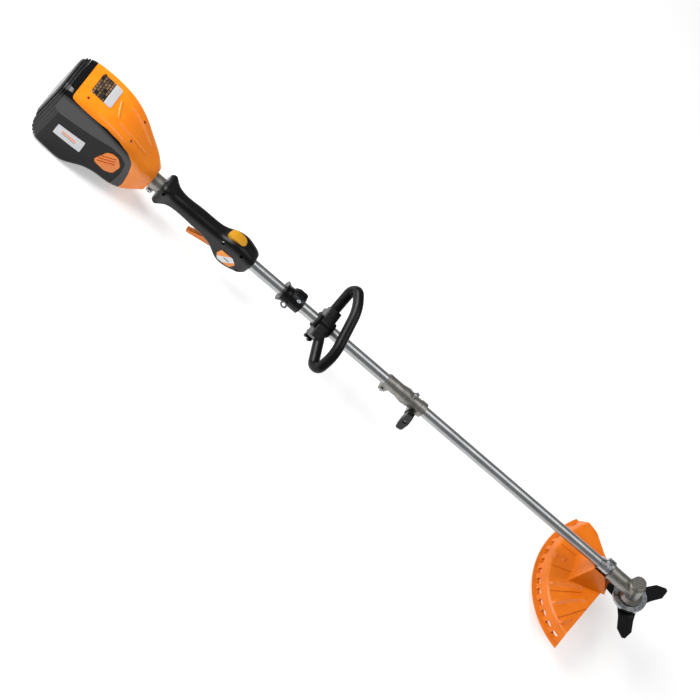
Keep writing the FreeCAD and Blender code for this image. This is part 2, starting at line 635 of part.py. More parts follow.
grip_skin = lofted(GRIP_SECTIONS, 0.8).cut(lofted(GRIP_SECTIONS))
grip_badge_prism = plate_xz([(203, 2), (232, 6), (247, -8), (241, -25), (210, -28), (201, -16)],
                            [5, 7, 6, 6, 6, 6], -60, 60)
grip_badges = [grip_skin.common(grip_badge_prism).common(box(-BIG, BIG, y0, y1, -BIG, BIG))
               for y0, y1 in ((0, BIG), (-BIG, 0))]

parts["grip_left"] = grip_left
parts["grip_right"] = grip_right
parts["grip_screws"] = Part.makeCompound(grip_screws)
parts["grip_badges"] = Part.makeCompound(grip_badges)
parts["trigger"] = trigger
parts["trigger_pin"] = trigger_pin
parts["trigger_switch"] = trigger_switch
parts["lock_off_button"] = lock_off_button

# ---- tubes and drive shafts ---------------------------------------------------------------
upper_tube = pipe_x(UPPER_TUBE_START, UPPER_TUBE_END, TUBE_R, TUBE_RI)
lower_tube = pipe_x(LOWER_TUBE_START, LOWER_TUBE_END, TUBE_R, TUBE_RI)
SHAFT_JOINT = 724.0           # where the two drive shafts meet inside the coupling
PINION_SHAFT_START = 1400.0
upper_drive_shaft = rod_x(ROTOR_END, SHAFT_JOINT, DRIVE_R)
lower_drive_shaft = rod_x(SHAFT_JOINT, PINION_SHAFT_START, DRIVE_R)
BUSH_LENGTH = 20.0


def bushes(start, end, count):
    """Plastic bushes that hold a drive shaft on the tube's axis, evenly spaced."""
    step = (end - start) / count
    rings = []
    for k in range(count):
        middle = start + step * (k + 0.5)
        ring = pipe_x(middle - BUSH_LENGTH / 2, middle + BUSH_LENGTH / 2, TUBE_RI - SEAT, DRIVE_R + RUN)
        rings.append(ring)
    return rings


upper_bushes = bushes(UPPER_TUBE_START, UPPER_TUBE_END, 4)
lower_bushes = bushes(LOWER_TUBE_START, LOWER_TUBE_END, 4)
parts["upper_tube"] = upper_tube
parts["lower_tube"] = lower_tube
parts["upper_drive_shaft"] = upper_drive_shaft
parts["lower_drive_shaft"] = lower_drive_shaft
parts["upper_bushes"] = Part.makeCompound(upper_bushes)
parts["lower_bushes"] = Part.makeCompound(lower_bushes)

# ---- harness collar -----------------------------------------------------------------------
HARNESS_HALF = 26.0           # half length of the collar
HX = HARNESS_X
collar_body = rod_x(HX - HARNESS_HALF, HX + HARNESS_HALF, TUBE_R + 7.0)
collar_rim = Part.makeCone(TUBE_R + 12.0, TUBE_R + 7.0, 9.0, V(HX - HARNESS_HALF, 0, 0), V(1, 0, 0))
ear_outline = [(HX - 10, 10), (HX + 24, 10), (HX + 24, 32), (HX - 10, 32)]
collar_ears = plate_xz(ear_outline, [0, 0, 10, 14], -10.0, 10.0)
harness_collar = joined([collar_body, collar_rim, collar_ears])
HARNESS_SCREW_Z = 25.0
harness_collar = without(harness_collar, [
    rod_x(HX - 60, HX + 60, TUBE_R + SEAT),
    box(HX - 60, HX + 60, -1.2, 1.2, 0, 60),
    rod_y(-30, 30, 2.6, HX + 10, HARNESS_SCREW_Z),
])
EYE_R = 4.5                   # bore of the harness eye
EYE_Y = -(TUBE_R + 15.0)
EYE_T = 3.0
eye_plate = plate_xy([(HX - 15, -14), (HX - 15, EYE_Y - 5), (HX - 2, EYE_Y - 5), (HX - 2, -14)],
                     [0, 5.5, 5.5, 0], -EYE_T / 2, EYE_T / 2)
eye_ring = rod_z(-EYE_T / 2, EYE_T / 2, EYE_R + 4.0, HX - 8.5, EYE_Y)
harness_eye = joined([eye_plate, eye_ring]).cut(rod_z(-9, 9, EYE_R, HX - 8.5, EYE_Y))
harness_eye = harness_eye.cut(rod_x(HX - 60, HX + 60, TUBE_R + 2.0))
harness_collar = harness_collar.cut(box(HX - 15.05, HX - 1.95, -40, -14, -EYE_T / 2 - SEAT, EYE_T / 2 + SEAT))
harness_collar = harness_collar.cut(rod_z(-EYE_T / 2 - SEAT, EYE_T / 2 + SEAT, EYE_R + 4.05, HX - 8.5, EYE_Y))
parts["harness_collar"] = harness_collar
parts["harness_eye"] = harness_eye

# ---- loop handle --------------------------------------------------------------------------
LX = LOOP_X
LINER_T = 3.0
LINER_HALF = 22.0
LINER_R = TUBE_R + LINER_T
CLAMP_HALF = 15.0             # half length of the clamp block
CLAMP_R = LINER_R + 7.0
loop_liner = pipe_x(LX - LINER_HALF, LX + LINER_HALF, LINER_R - SLIDE_GAP / 2, TUBE_R + SLIDE_GAP / 2)
rim_a = pipe_x(LX - LINER_HALF, LX - LINER_HALF + 3, LINER_R + 3.0, TUBE_R + SLIDE_GAP / 2)
rim_b = pipe_x(LX + LINER_HALF - 3, LX + LINER_HALF, LINER_R + 3.0, TUBE_R + SLIDE_GAP / 2)
loop_liner = joined([loop_liner, rim_a, rim_b])


def loop_points():
    """Corners of the loop's middle line in its own plane: across, up."""
    side = [(30, 8), (LOOP_HALF * 0.93, 28), (LOOP_HALF, 48), (LOOP_HALF * 0.58, LOOP_RISE - 3)]
    return [(-y, z) for y, z in side] + side[::-1]


LOOP_RADII = [0, 14, 14, 90, 90, 14, 14, 0]


def loop_place(shape):
    """Lean the loop forward and turn it about the shaft."""
    placed = shape.copy()
    placed.rotate(V(0, 0, 0), V(0, 1, 0), LOOP_LEAN)
    placed.rotate(V(0, 0, 0), V(0, 0, 1), LOOP_SKEW)
    placed.translate(V(LX, 0, 0))
    placed.rotate(V(0, 0, 0), V(1, 0, 0), LOOP_ROLL)
    return placed


corners = [V(0, y, z) for y, z in loop_points()]
loop_path = Part.Wire(rounded_edges(corners, LOOP_RADII, closed=False))
first = corners[1].sub(corners[0])
ring = Part.Wire(Part.makeCircle(LOOP_BAR_R, corners[0], first))
loop_bar = loop_place(loop_path.makePipeShell([ring], True, False))
clamp_block = rod_x(LX - CLAMP_HALF, LX + CLAMP_HALF, CLAMP_R)
block_wings = plate_xz([(LX - CLAMP_HALF, -6), (LX + CLAMP_HALF, -6), (LX + CLAMP_HALF, 22),
                        (LX - CLAMP_HALF, 22)], [4, 4, 4, 4], -38, 38)
block = clamp_block.fuse(block_wings)
block.rotate(V(0, 0, 0), V(1, 0, 0), LOOP_ROLL)
split = box(LX - 80, LX + 80, -BIG, BIG, -BIG, 0)
split.rotate(V(0, 0, 0), V(1, 0, 0), LOOP_ROLL)
upper = joined([loop_bar, block]).cut(split)
loop_hole = rod_x(LX - 80, LX + 80, LINER_R)
loop_handle = upper.cut(loop_hole)
lower = box(LX - CLAMP_HALF, LX + CLAMP_HALF, -34, 34, -20, -0.6)
lower = lower.fuse(rod_x(LX - CLAMP_HALF, LX + CLAMP_HALF, CLAMP_R))
lower = lower.common(box(LX - 80, LX + 80, -BIG, BIG, -BIG, -0.6))
lower.rotate(V(0, 0, 0), V(1, 0, 0), LOOP_ROLL)
loop_clamp = lower.cut(loop_hole).removeSplitter()
LOOP_BOLT_Y = 28.0
LOOP_BOLT_R = 3.0


def roll(shape):
    """Turn a shape about the shaft with the loop."""
    placed = shape.copy()
    placed.rotate(V(0, 0, 0), V(1, 0, 0), LOOP_ROLL)
    return placed


loop_bolt = joined([rod_z(-26, 18, LOOP_BOLT_R, LX, LOOP_BOLT_Y), rod_z(-24, -20, 5.5, LX, LOOP_BOLT_Y)])
loop_stud = joined([rod_z(-34, 18, LOOP_BOLT_R, LX, -LOOP_BOLT_Y)])
bolt_holes = [roll(rod_z(-40, 18.2, LOOP_BOLT_R + 0.1, LX, y)) for y in (LOOP_BOLT_Y, -LOOP_BOLT_Y)]
loop_handle = without(loop_handle, bolt_holes)
loop_clamp = without(loop_clamp, bolt_holes)
knob_lobes = [rod_z(-36, -24.5, 5.0, LX + 9.0 * cos(k * 2 * pi / 5), -LOOP_BOLT_Y + 9.0 * sin(k * 2 * pi / 5))
              for k in range(5)]
knob_core = [rod_z(-36, -24.5, 9.5, LX, -LOOP_BOLT_Y), rod_z(-24.6, -20.2, 6.0, LX, -LOOP_BOLT_Y)]
loop_knob = joined(knob_core + knob_lobes)
loop_knob = loop_knob.cut(rod_z(-34.5, -10, LOOP_BOLT_R + RUN, LX, -LOOP_BOLT_Y))
parts["loop_liner"] = loop_liner
parts["loop_handle"] = loop_handle
parts["loop_clamp"] = loop_clamp
parts["loop_bolts"] = Part.makeCompound([roll(loop_bolt), roll(loop_stud)])
parts["loop_knob"] = roll(loop_knob)

# ---- split-shaft coupling -----------------------------------------------------------------
CX0 = COUPLING_START
CX1 = COUPLING_END
COUPLING_R = TUBE_R + 3.6
barrel = rod_x(CX0 + 4, CX1 - 14, COUPLING_R)
rear_lip = Part.makeCone(TUBE_R + 2.0, COUPLING_R, 4.0, V(CX0, 0, 0), V(1, 0, 0))
front_ring = rod_x(CX1 - 14, CX1, COUPLING_R + 1.8)
swell = Part.makeCone(COUPLING_R, COUPLING_R + 3.0, 18.0, V(CX0 + 40, 0, 0), V(1, 0, 0))
swell_end = Part.makeCone(COUPLING_R + 3.0, COUPLING_R, 20.0, V(CX0 + 58, 0, 0), V(1, 0, 0))
PIN_X = CX0 + 70.0            # spring pin that locks the lower tube
pin_boss = rod_z(8.0, 25.0, 6.5, PIN_X)
REAR_LUG_X = CX0 + 11.0
FRONT_LUG_X = CX1 - 14.0
COUPLING_LUG_Z = -25.0
KNOB_Z = -29.0
rear_outline = [(REAR_LUG_X - 9, -8), (REAR_LUG_X - 9, -32), (REAR_LUG_X + 9, -32),
                (REAR_LUG_X + 12, -8)]
rear_lug = plate_xz(rear_outline, [0, 6, 6, 0], -9, 9)
front_outline = [(FRONT_LUG_X - 12, -8), (FRONT_LUG_X - 9, -36), (FRONT_LUG_X + 9, -36),
                 (FRONT_LUG_X + 12, -8)]
front_lug = plate_xz(front_outline, [0, 6, 6, 0], -12, 12)
coupling_body = joined([barrel, rear_lip, front_ring, swell, swell_end, pin_boss, rear_lug, front_lug])
LOCK_PIN_R = 3.5
coupling_body = without(coupling_body, [
    rod_x(CX0 - 5, CX1 + 5, TUBE_R + SEAT),
    box(CX0 - 5, CX0 + 36, -1.2, 1.2, -60, 0),
    box(CX1 - 52, CX1 + 5, -1.2, 1.2, -60, 0),
    rod_y(-30, 30, 2.6, REAR_LUG_X, COUPLING_LUG_Z),
    rod_y(-30, 30, 3.1, FRONT_LUG_X, KNOB_Z),
    rod_z(5, 40, LOCK_PIN_R + RUN, PIN_X),
])
locking_pin = joined([rod_z(9.0, 27.0, LOCK_PIN_R, PIN_X), rod_z(25.4, 31.5, 5.0, PIN_X)])
locking_pin = locking_pin.cut(pipe_z(27.5, 29.5, 6.0, 4.2, PIN_X))
pin_seat = rod_z(5, 14, LOCK_PIN_R + 0.1, PIN_X)
lower_tube = lower_tube.cut(pin_seat)
parts["lower_tube"] = lower_tube

stud_shank = rod_y(-33.0, 14.0, 3.0, FRONT_LUG_X, KNOB_Z)
knob_stud = joined([stud_shank, rod_y(12.2, 16.0, 5.5, FRONT_LUG_X, KNOB_Z)])
knob_tilt = -13.0
KNOB_REACH = 33.0             # half length of the knob's bar
wing = [(-8, -KNOB_REACH), (8, -KNOB_REACH), (11, 0), (8, KNOB_REACH), (-8, KNOB_REACH), (-11, 0)]
knob_outline = [(FRONT_LUG_X + x, KNOB_Z + z) for x, z in wing]
knob_bar = plate_xz(knob_outline, [6, 6, 20, 6, 6, 20], -36.0, -24.0)
knob_hub = rod_y(-27.0, -12.3, 8.5, FRONT_LUG_X, KNOB_Z)
coupling_knob = joined([knob_bar, knob_hub])
coupling_knob = coupling_knob.cut(rod_y(-33.4, 0, 3.0 + RUN, FRONT_LUG_X, KNOB_Z))
coupling_knob = coupling_knob.cut(rod_y(-40, -33.4, 5.0, FRONT_LUG_X, KNOB_Z))
coupling_knob.rotate(V(FRONT_LUG_X, 0, KNOB_Z), V(0, 1, 0), knob_tilt)
parts["coupling_body"] = coupling_body
parts["locking_pin"] = locking_pin
parts["knob_stud"] = knob_stud
parts["coupling_knob"] = coupling_knob

# ---- gear case, on the spindle's axis -----------------------------------------------------
CASE_R = 19.0
CAP_R = 16.5
CASE_TOP = 31.0
CAP_TOP = 44.0
CASE_BASE = -28.0
CASE_FLANGE_R = 27.0
SPINDLE_R = 5.0
S_BEARING_R = 13.0
S_BEARING_W = 8.0
neck = rod_x(LOWER_TUBE_END - 34.0, SPINDLE_X - 6.0, CASE_R)
neck_rim = rod_x(LOWER_TUBE_END - 36.0, LOWER_TUBE_END - 28.0, CASE_R + 1.5)
drum = to_spindle(rod_z(CASE_BASE + 6, CASE_TOP, CASE_R + 1.0))
foot = to_spindle(rod_z(CASE_BASE, CASE_BASE + 8, CASE_FLANGE_R))
foot_cone = to_spindle(Part.makeCone(CASE_FLANGE_R - 1, CASE_R + 1, 9.0, V(0, 0, CASE_BASE + 8)))
web = plate_xz([(SPINDLE_X - 50, 10), (SPINDLE_X - 30, 19.5), (SPINDLE_X - 23, 14), (SPINDLE_X - 24, 0)],
               [3, 3, 2, 3], -3, 3)
gear_case = joined([neck, neck_rim, drum, foot, foot_cone, web])
PINION_BEARING_R = 12.0
case_cuts = [
    rod_x(LOWER_TUBE_END - 60, LOWER_TUBE_END, TUBE_R + SEAT),
    rod_x(LOWER_TUBE_END - 1, SPINDLE_X - CONE_DISTANCE + 1, PINION_BEARING_R + SEAT),
    rod_x(SPINDLE_X - CONE_DISTANCE, SPINDLE_X, PINION_BEARING_R + 1),
    to_spindle(rod_z(-9, CASE_TOP + 1, 16.0)),
    to_spindle(rod_z(-9 - S_BEARING_W, -8, S_BEARING_R + SEAT)),
    to_spindle(rod_z(-60, 0, 9.0)),
    box(LOWER_TUBE_END - 60, LOWER_TUBE_END - 4, -1.2, 1.2, -60, 0),
]
CASE_LUG_X = LOWER_TUBE_END - 22.0
case_lug = box(CASE_LUG_X - 7, CASE_LUG_X + 7, -8.5, 8.5, -31.0, -12.0)
gear_case = joined([gear_case, case_lug])
case_cuts.append(rod_y(-30, 30, 2.6, CASE_LUG_X, -25.0))
gear_case = without(gear_case, case_cuts)
spindle_cap = joined([rod_z(CASE_TOP, CAP_TOP, CAP_R), rod_z(CASE_TOP - 2.0, CASE_TOP, 16.0 - SEAT)])
spindle_cap = spindle_cap.cut(pipe_z(CAP_TOP - 4.5, CAP_TOP - 3.0, CAP_R + 1, CAP_R - 1.2))
spindle_cap = spindle_cap.cut(rod_z(CASE_TOP - 3, CASE_TOP + 8, 11.0 + SEAT))
spindle_cap = to_spindle(spindle_cap)
spindle_bearings = [
    to_spindle(bearing_z(-9 - S_BEARING_W, S_BEARING_R, SPINDLE_R + RUN, S_BEARING_W)),
    to_spindle(bearing_z(CASE_TOP + 1, 11.0, SPINDLE_R + RUN, 7.0)),
]
PINION_SHAFT_R = 4.0
pinion_bearings = [
    bearing_x(LOWER_TUBE_END, PINION_BEARING_R, PINION_SHAFT_R + RUN, 8.0),
    bearing_x(LOWER_TUBE_END + 12.0, PINION_BEARING_R, PINION_SHAFT_R + RUN, 8.0),
]

# ---- bevel gears --------------------------------------------------------------------------
SHAFT_ANGLE = radians(90.0 - SPINDLE_LEAN)
RATIO = GEAR_TEETH / PINION_TEETH
PINION_CONE = atan2(sin(SHAFT_ANGLE), RATIO + cos(SHAFT_ANGLE))
GEAR_CONE = SHAFT_ANGLE - PINION_CONE


def bevel(teeth, cone, hub, turn, shaft=None, bore=0.0):
    """Straight bevel gear about +Z, apex at the origin, bored or with a shaft; turn places a tooth."""
    pitch_r = CONE_DISTANCE * sin(cone)
    module = 2 * pitch_r / teeth
    tip, root = 0.80 * module, 1.15 * module
    normal = (cos(cone), -sin(cone))
    pitch_z = CONE_DISTANCE * cos(cone)
    shrink = (CONE_DISTANCE - GEAR_FACE) / CONE_DISTANCE
    root_r, root_z = pitch_r - root * normal[0], pitch_z - root * normal[1]
    tip_r, tip_z = pitch_r + tip * normal[0], pitch_z + tip * normal[1]
    body = Part.makeCone(root_r * shrink, root_r, root_z * (1 - shrink), V(0, 0, root_z * shrink))
    back = rod_z(root_z, root_z + hub, root_r - 0.4)
    sunk = 0.25 * module
    low_r, low_z = root_r - sunk * normal[0], root_z - sunk * normal[1]
    wide, narrow = 0.78 * module, 0.34 * module
    solids = [body, back] if shaft is None else [body, back, shaft]
    for k in range(teeth):
        root = [V(low_r, -wide, low_z), V(low_r, wide, low_z)]
        near = root + [V(tip_r, narrow, tip_z), V(tip_r, -narrow, tip_z)]
        far = [corner * shrink for corner in near]
        wires = [Part.makePolygon(near + [near[0]]), Part.makePolygon(far + [far[0]])]
        tooth = Part.makeLoft(wires, True, True)
        tooth.rotate(V(0, 0, 0), V(0, 0, 1), turn + k * 360.0 / teeth)
        solids.append(tooth)
    gear = joined(solids)
    return gear.cut(rod_z(-5, 60, bore)) if bore > 0 else gear


# The pinion faces the apex from behind, so its axis is turned to -X; the gear stands above the apex.
pinion_shaft = rod_z(CONE_DISTANCE * cos(PINION_CONE) - 4.0, SPINDLE_X - PINION_SHAFT_START, PINION_SHAFT_R)
bevel_pinion = bevel(PINION_TEETH, PINION_CONE, 1.0, 0.0, shaft=pinion_shaft)
bevel_pinion.rotate(V(0, 0, 0), V(0, 1, 0), -90.0)
bevel_pinion.translate(V(SPINDLE_X, 0, 0))
bevel_gear = to_spindle(bevel(GEAR_TEETH, GEAR_CONE, 3.0, 180.0 + 180.0 / GEAR_TEETH, bore=SPINDLE_R))

# ---- spindle, flanges, blade --------------------------------------------------------------
spindle = joined([rod_z(-56.0, CASE_TOP + 8, SPINDLE_R), rod_z(-20.0, -17.2, 7.5)])
SHIELD_R = 41.0               # dust ring that turns round the case's foot
inner_flange = joined([
    pipe_z(CASE_BASE - 1.0, CASE_BASE + 4.5, SHIELD_R, CASE_FLANGE_R + 2.5),
    rod_z(CASE_BASE - 4.0, CASE_BASE - 0.9, SHIELD_R),
    rod_z(CASE_BASE - 7.0, CASE_BASE - 4.0, SHIELD_R - 8.0),
    rod_z(-BLADE_DEPTH, CASE_BASE - 7.0, SHIELD_R - 4.0),
    rod_z(-BLADE_DEPTH - BLADE_T, -BLADE_DEPTH, BLADE_BORE_R - SEAT),
]).cut(rod_z(-60, 0, SPINDLE_R))
outer_flange = joined([
    rod_z(-BLADE_DEPTH - BLADE_T - 2.5, -BLADE_DEPTH - BLADE_T, 30.0),
    rod_z(-BLADE_DEPTH - BLADE_T - 6.0, -BLADE_DEPTH - BLADE_T - 2.5, 20.0),
]).cut(rod_z(-60, 0, SPINDLE_R))
NUT_TOP = -BLADE_DEPTH - BLADE_T - 6.0
nut_corners = [V(8.5 * cos(k * pi / 3), 8.5 * sin(k * pi / 3), NUT_TOP - 8.0) for k in range(6)]
blade_nut = Part.Face(Part.makePolygon(nut_corners + [nut_corners[0]])).extrude(V(0, 0, 8.0))
blade_nut = blade_nut.fuse(rod_z(NUT_TOP - 1.5, NUT_TOP, 11.0)).cut(rod_z(-60, 0, SPINDLE_R)).removeSplitter()

HUB_R = 33.0
tooth_half = [(28.0, 23.0), (52.0, 18.5), (84.0, 17.5), (BLADE_R - 1.0, 4.0)]
blade = rod_z(-BLADE_DEPTH - BLADE_T, -BLADE_DEPTH, HUB_R)
for k in range(3):
    right = [(r, -w) for r, w in tooth_half]
    left = [(r, w) for r, w in reversed(tooth_half)]
    tooth = plate_xy([(10, -20)] + right + left + [(10, 20)], [0, 0, 30, 6, 2, 2, 6, 30, 0, 0],
                     -BLADE_DEPTH - BLADE_T, -BLADE_DEPTH)
    tooth.rotate(V(0, 0, 0), V(0, 0, 1), BLADE_TURN + k * 120.0)
    blade = blade.fuse(tooth)
blade = blade.removeSplitter().cut(rod_z(-60, 0, BLADE_BORE_R))

parts["gear_case"] = gear_case
parts["spindle_cap"] = spindle_cap
parts["spindle_bearings"] = Part.makeCompound(spindle_bearings)
parts["pinion_bearings"] = Part.makeCompound(pinion_bearings)
parts["bevel_pinion"] = bevel_pinion
parts["bevel_gear"] = bevel_gear
parts["spindle"] = to_spindle(spindle)
parts["inner_flange"] = to_spindle(inner_flange)
parts["outer_flange"] = to_spindle(outer_flange)
parts["blade"] = to_spindle(blade)
parts["blade_nut"] = to_spindle(blade_nut)

# ---- guard --------------------------------------------------------------------------------
def guard_solid(inset):
    """Bell of the guard, revolved about the spindle; inset makes the inner surface."""
    top = -GUARD_TOP - inset
    bottom = -GUARD_TOP - GUARD_DROP
    profile = [
        V(0, 0, top),
        V(GUARD_R - 30 - inset, 0, top),
        V(GUARD_R - 8 - inset * 0.8, 0, bottom + 5),
        V(GUARD_R - 8 - inset * 0.8, 0, bottom),
        V(0, 0, bottom),
    ]
    radii = [0, 12, 8 if inset == 0 else 6, 0, 0]
    if inset > 0:
        profile[2] = V(GUARD_R - 8 - inset, 0, bottom - 3)
        profile[3] = V(0, 0, bottom - 3)
        profile = profile[:4]
        radii = [0, 12 - inset, 0, 0]
    face = Part.Face(Part.Wire(rounded_edges(profile, radii)))
    return face.revolve(V(0, 0, 0), V(0, 0, 1), 360)


rim_bottom = -GUARD_TOP - GUARD_DROP
rim_flange = pipe_z(rim_bottom, rim_bottom + 2.5, GUARD_R, GUARD_R - 27)
guard_bell = joined([guard_solid(0.0), rim_flange]).cut(guard_solid(GUARD_T))
rr = GUARD_R + 4


def behind(radius, angle):
    """Point on a circle about the spindle, at an angle from straight back towards the left."""
    a = radians(angle)
    return (-radius * cos(a), radius * sin(a))


fan = [behind(rr, GUARD_RIGHT), (-52, 19), (-52, 30), (-90, 74), (-122, 120), (-150, 138),
       behind(rr, GUARD_LEFT), behind(rr + 90, 15), behind(rr + 90, -20), behind(rr + 90, -45)]
fan_block = plate_xy(fan, [0, 4, 6, 30, 30, 14, 0, 0, 0, 0], rim_bottom - 1, 0)
guard = guard_bell.common(fan_block)
RIB_ANGLES = [14.0, -4.0, -24.0, -44.0]
for angle in RIB_ANGLES:
    rib = box(-GUARD_R + 34, -122, -2.0, 2.0, -GUARD_TOP - 0.5, -GUARD_TOP + 2.2)
    rib.rotate(V(0, 0, 0), V(0, 0, 1), -angle)
    guard = guard.fuse(rib.common(fan_block))
WINDOWS = 13
for k in range(WINDOWS):
    angle = GUARD_RIGHT + 7.0 + k * (GUARD_LEFT - GUARD_RIGHT - 12.0) / (WINDOWS - 1)
    window = box(-GUARD_R, -GUARD_R + 26, -7.5, 7.5, -GUARD_TOP - 24, -GUARD_TOP - 15)
    window.rotate(V(0, 0, 0), V(0, 0, 1), -angle)
    guard = guard.cut(window)
guard = guard.removeSplitter()

BASE_T = 2.8                  # zinc-plated bracket's sheet
BOLT_X = -92.0                # guard bolts, measured back from the spindle
BOLT_Y = 16.0
base_plate = box(-116, -64, -24, 24, -GUARD_TOP, -GUARD_TOP + BASE_T)
STRAP_X0 = LOWER_TUBE_END - 36.5 - 30.0
STRAP_X1 = LOWER_TUBE_END - 36.5
strap = rod_x(STRAP_X0, STRAP_X1, TUBE_R + 3.0)
ears = box(STRAP_X0 + 4, STRAP_X1 - 4, -7.0, 7.0, 12, 31)
webs = [box(STRAP_X0, STRAP_X1, y - 1.4, y + 1.4, -90, 0) for y in (-TUBE_R - 1.5, TUBE_R + 1.5)]
above_guard = to_spindle(box(-BIG, BIG, -BIG, BIG, -GUARD_TOP + 0.01, BIG))
webs = [w.common(above_guard) for w in webs]
guard_bracket = joined([strap, ears, to_spindle(base_plate)] + webs)
window_x = (STRAP_X0 + STRAP_X1) / 2
guard_bracket = without(guard_bracket, [
    rod_x(STRAP_X0 - 5, STRAP_X1 + 5, TUBE_R + SEAT),
    box(STRAP_X0 - 5, STRAP_X1 + 5, -1.4, 1.4, 0, 60),
    rod_y(-30, 30, 2.6, window_x, 24.0),
    box(window_x - 9, window_x + 9, -30, 30, -38, -20),
])
guard_bracket = guard_bracket.cut(to_spindle(rod_z(-40, 0, 3.1, BOLT_X, BOLT_Y)))
guard_bracket = guard_bracket.cut(to_spindle(rod_z(-40, 0, 3.1, BOLT_X, -BOLT_Y)))
guard_bolts = []
for y in (BOLT_Y, -BOLT_Y):
    shank = rod_z(-GUARD_TOP - 10, -GUARD_TOP + BASE_T, 3.0, BOLT_X, y)
    head = rod_z(-GUARD_TOP + BASE_T, -GUARD_TOP + BASE_T + 4, 5.5, BOLT_X, y)
    nut = rod_z(-GUARD_TOP - 8, -GUARD_TOP - GUARD_T, 5.5, BOLT_X, y)
    guard_bolts.append(to_spindle(joined([shank, head, nut])))
    guard = guard.cut(rod_z(-40, 0, 3.1, BOLT_X, y))


def spindle_point(x, y, z):
    """A point given about the spindle, in the shaft frame."""
    lean = radians(SPINDLE_LEAN)
    return V(SPINDLE_X + x * cos(lean) - z * sin(lean), y, x * sin(lean) + z * cos(lean))


def cowl(inset, foot_z, top_z):
    """Four-sided hood from the guard's top up to the bracket's strap; inset makes it smaller all round."""
    foot = [(-149 + inset, -38 + inset), (-58 - inset, -30 + inset), (-58 - inset, 30 - inset),
            (-149 + inset, 38 - inset)]
    back, front, side = STRAP_X0 - 4 + inset, STRAP_X1 + 3.4 - inset, 21.5 - inset
    low = [spindle_point(x, y, foot_z) for x, y in foot]
    high = [V(back, -side, top_z), V(front, -side, top_z), V(front, side, top_z), V(back, side, top_z)]
    wires = [Part.makePolygon(low + [low[0]]), Part.makePolygon(high + [high[0]])]
    return Part.makeLoft(wires, True, True)


hood = without(cowl(0.0, -GUARD_TOP - 1.0, -5.0), [
    cowl(2.6, -GUARD_TOP - 1.1, -4.9),
    rod_x(STRAP_X0 - 60, SPINDLE_X, TUBE_R + 1.0),
    rod_x(STRAP_X1, SPINDLE_X, CASE_R + 2.5),
    box(CASE_LUG_X - 9, CASE_LUG_X + 9, -15.0, 15.0, -33.0, -8.0),
])
guard = to_spindle(guard).fuse(hood).removeSplitter()
parts["guard"] = guard
parts["guard_bracket"] = guard_bracket
parts["guard_bolts"] = Part.makeCompound(guard_bolts)

clamp_screws = [
    screw_y(13.0, LUG_Z, -9.0, 12.0, 2.5, 4.6, 4.0),
    screw_y(HX + 10, HARNESS_SCREW_Z, -10.0, 13.0, 2.5, 4.6, 4.0),
    screw_y(REAR_LUG_X, COUPLING_LUG_Z, -9.0, 12.0, 2.5, 4.6, 4.0),
    screw_y(CASE_LUG_X, -25.0, -8.5, 11.0, 2.5, 4.6, 4.0),
    screw_y(window_x, 24.0, -7.0, 10.0, 2.5, 4.6, 4.0),
]
parts["clamp_screws"] = Part.makeCompound(clamp_screws)

if __name__ == "__main__":
    os.makedirs("parts", exist_ok=True)
    for name, shape in parts.items():
        lie_down(shape).exportStep("parts/" + name + ".step")
        print(name, len(shape.Solids), round(shape.Volume), shape.isValid())
    print(len(parts), "nodes; tilt", round(degrees(TILT), 3))
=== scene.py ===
import json
from math import cos, pi, radians, sin

import bpy
import numpy as np
from bpy.props import FloatProperty, FloatVectorProperty, PointerProperty
from mathutils import Matrix, Vector


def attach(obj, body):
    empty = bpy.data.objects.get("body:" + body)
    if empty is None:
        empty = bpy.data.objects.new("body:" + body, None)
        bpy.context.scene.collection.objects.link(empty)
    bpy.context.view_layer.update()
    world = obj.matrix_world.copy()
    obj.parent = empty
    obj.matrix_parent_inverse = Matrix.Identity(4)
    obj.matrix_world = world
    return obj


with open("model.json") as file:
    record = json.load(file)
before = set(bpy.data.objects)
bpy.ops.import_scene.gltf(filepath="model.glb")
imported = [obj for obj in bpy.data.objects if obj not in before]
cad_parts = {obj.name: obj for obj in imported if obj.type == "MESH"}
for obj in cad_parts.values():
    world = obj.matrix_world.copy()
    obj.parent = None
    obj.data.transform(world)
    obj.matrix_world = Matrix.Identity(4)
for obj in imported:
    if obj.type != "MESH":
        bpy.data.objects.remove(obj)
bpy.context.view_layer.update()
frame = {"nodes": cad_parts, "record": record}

bl_info = {
    "name": "Battery brush cutter",
    "version": (1, 0, 0),
    "blender": (4, 5, 0),
    "location": "3D View > Sidebar > Brush cutter",
    "description": "Finishes and detailed pieces for a battery brush cutter",
    "category": "Object",
}

MM = 0.001
JOINTS = {joint["name"]: joint for joint in frame["record"]["behaviour"]["joints"]}

# The shaft's own axes: X along the tube, Y to the operator's left, Z square to both.
SHAFT_X = np.array(JOINTS["loop_slide"]["axis"], dtype=float)
SHAFT_Y = np.array([0.0, 1.0, 0.0])
SHAFT_Z = np.cross(SHAFT_X, SHAFT_Y)
SHAFT_TURN = (0.0, -np.arcsin(SHAFT_X[2]), 0.0)
SPINDLE_AT = 1463.0            # spindle's place along the shaft, from the head's nose
SPINDLE = np.array(JOINTS["cutter_spin"]["pos_m"], dtype=float)
SPINDLE_UP = np.array(JOINTS["cutter_spin"]["axis"], dtype=float)
NOSE = SPINDLE - SHAFT_X * SPINDLE_AT * MM


def on_shaft(points):
    """Points in the shaft's own axes, in mm from the head's nose, turned into the row frame in m."""
    points = np.asarray(points, dtype=float) * MM
    return NOSE + points[..., :1] * SHAFT_X + points[..., 1:2] * SHAFT_Y + points[..., 2:3] * SHAFT_Z


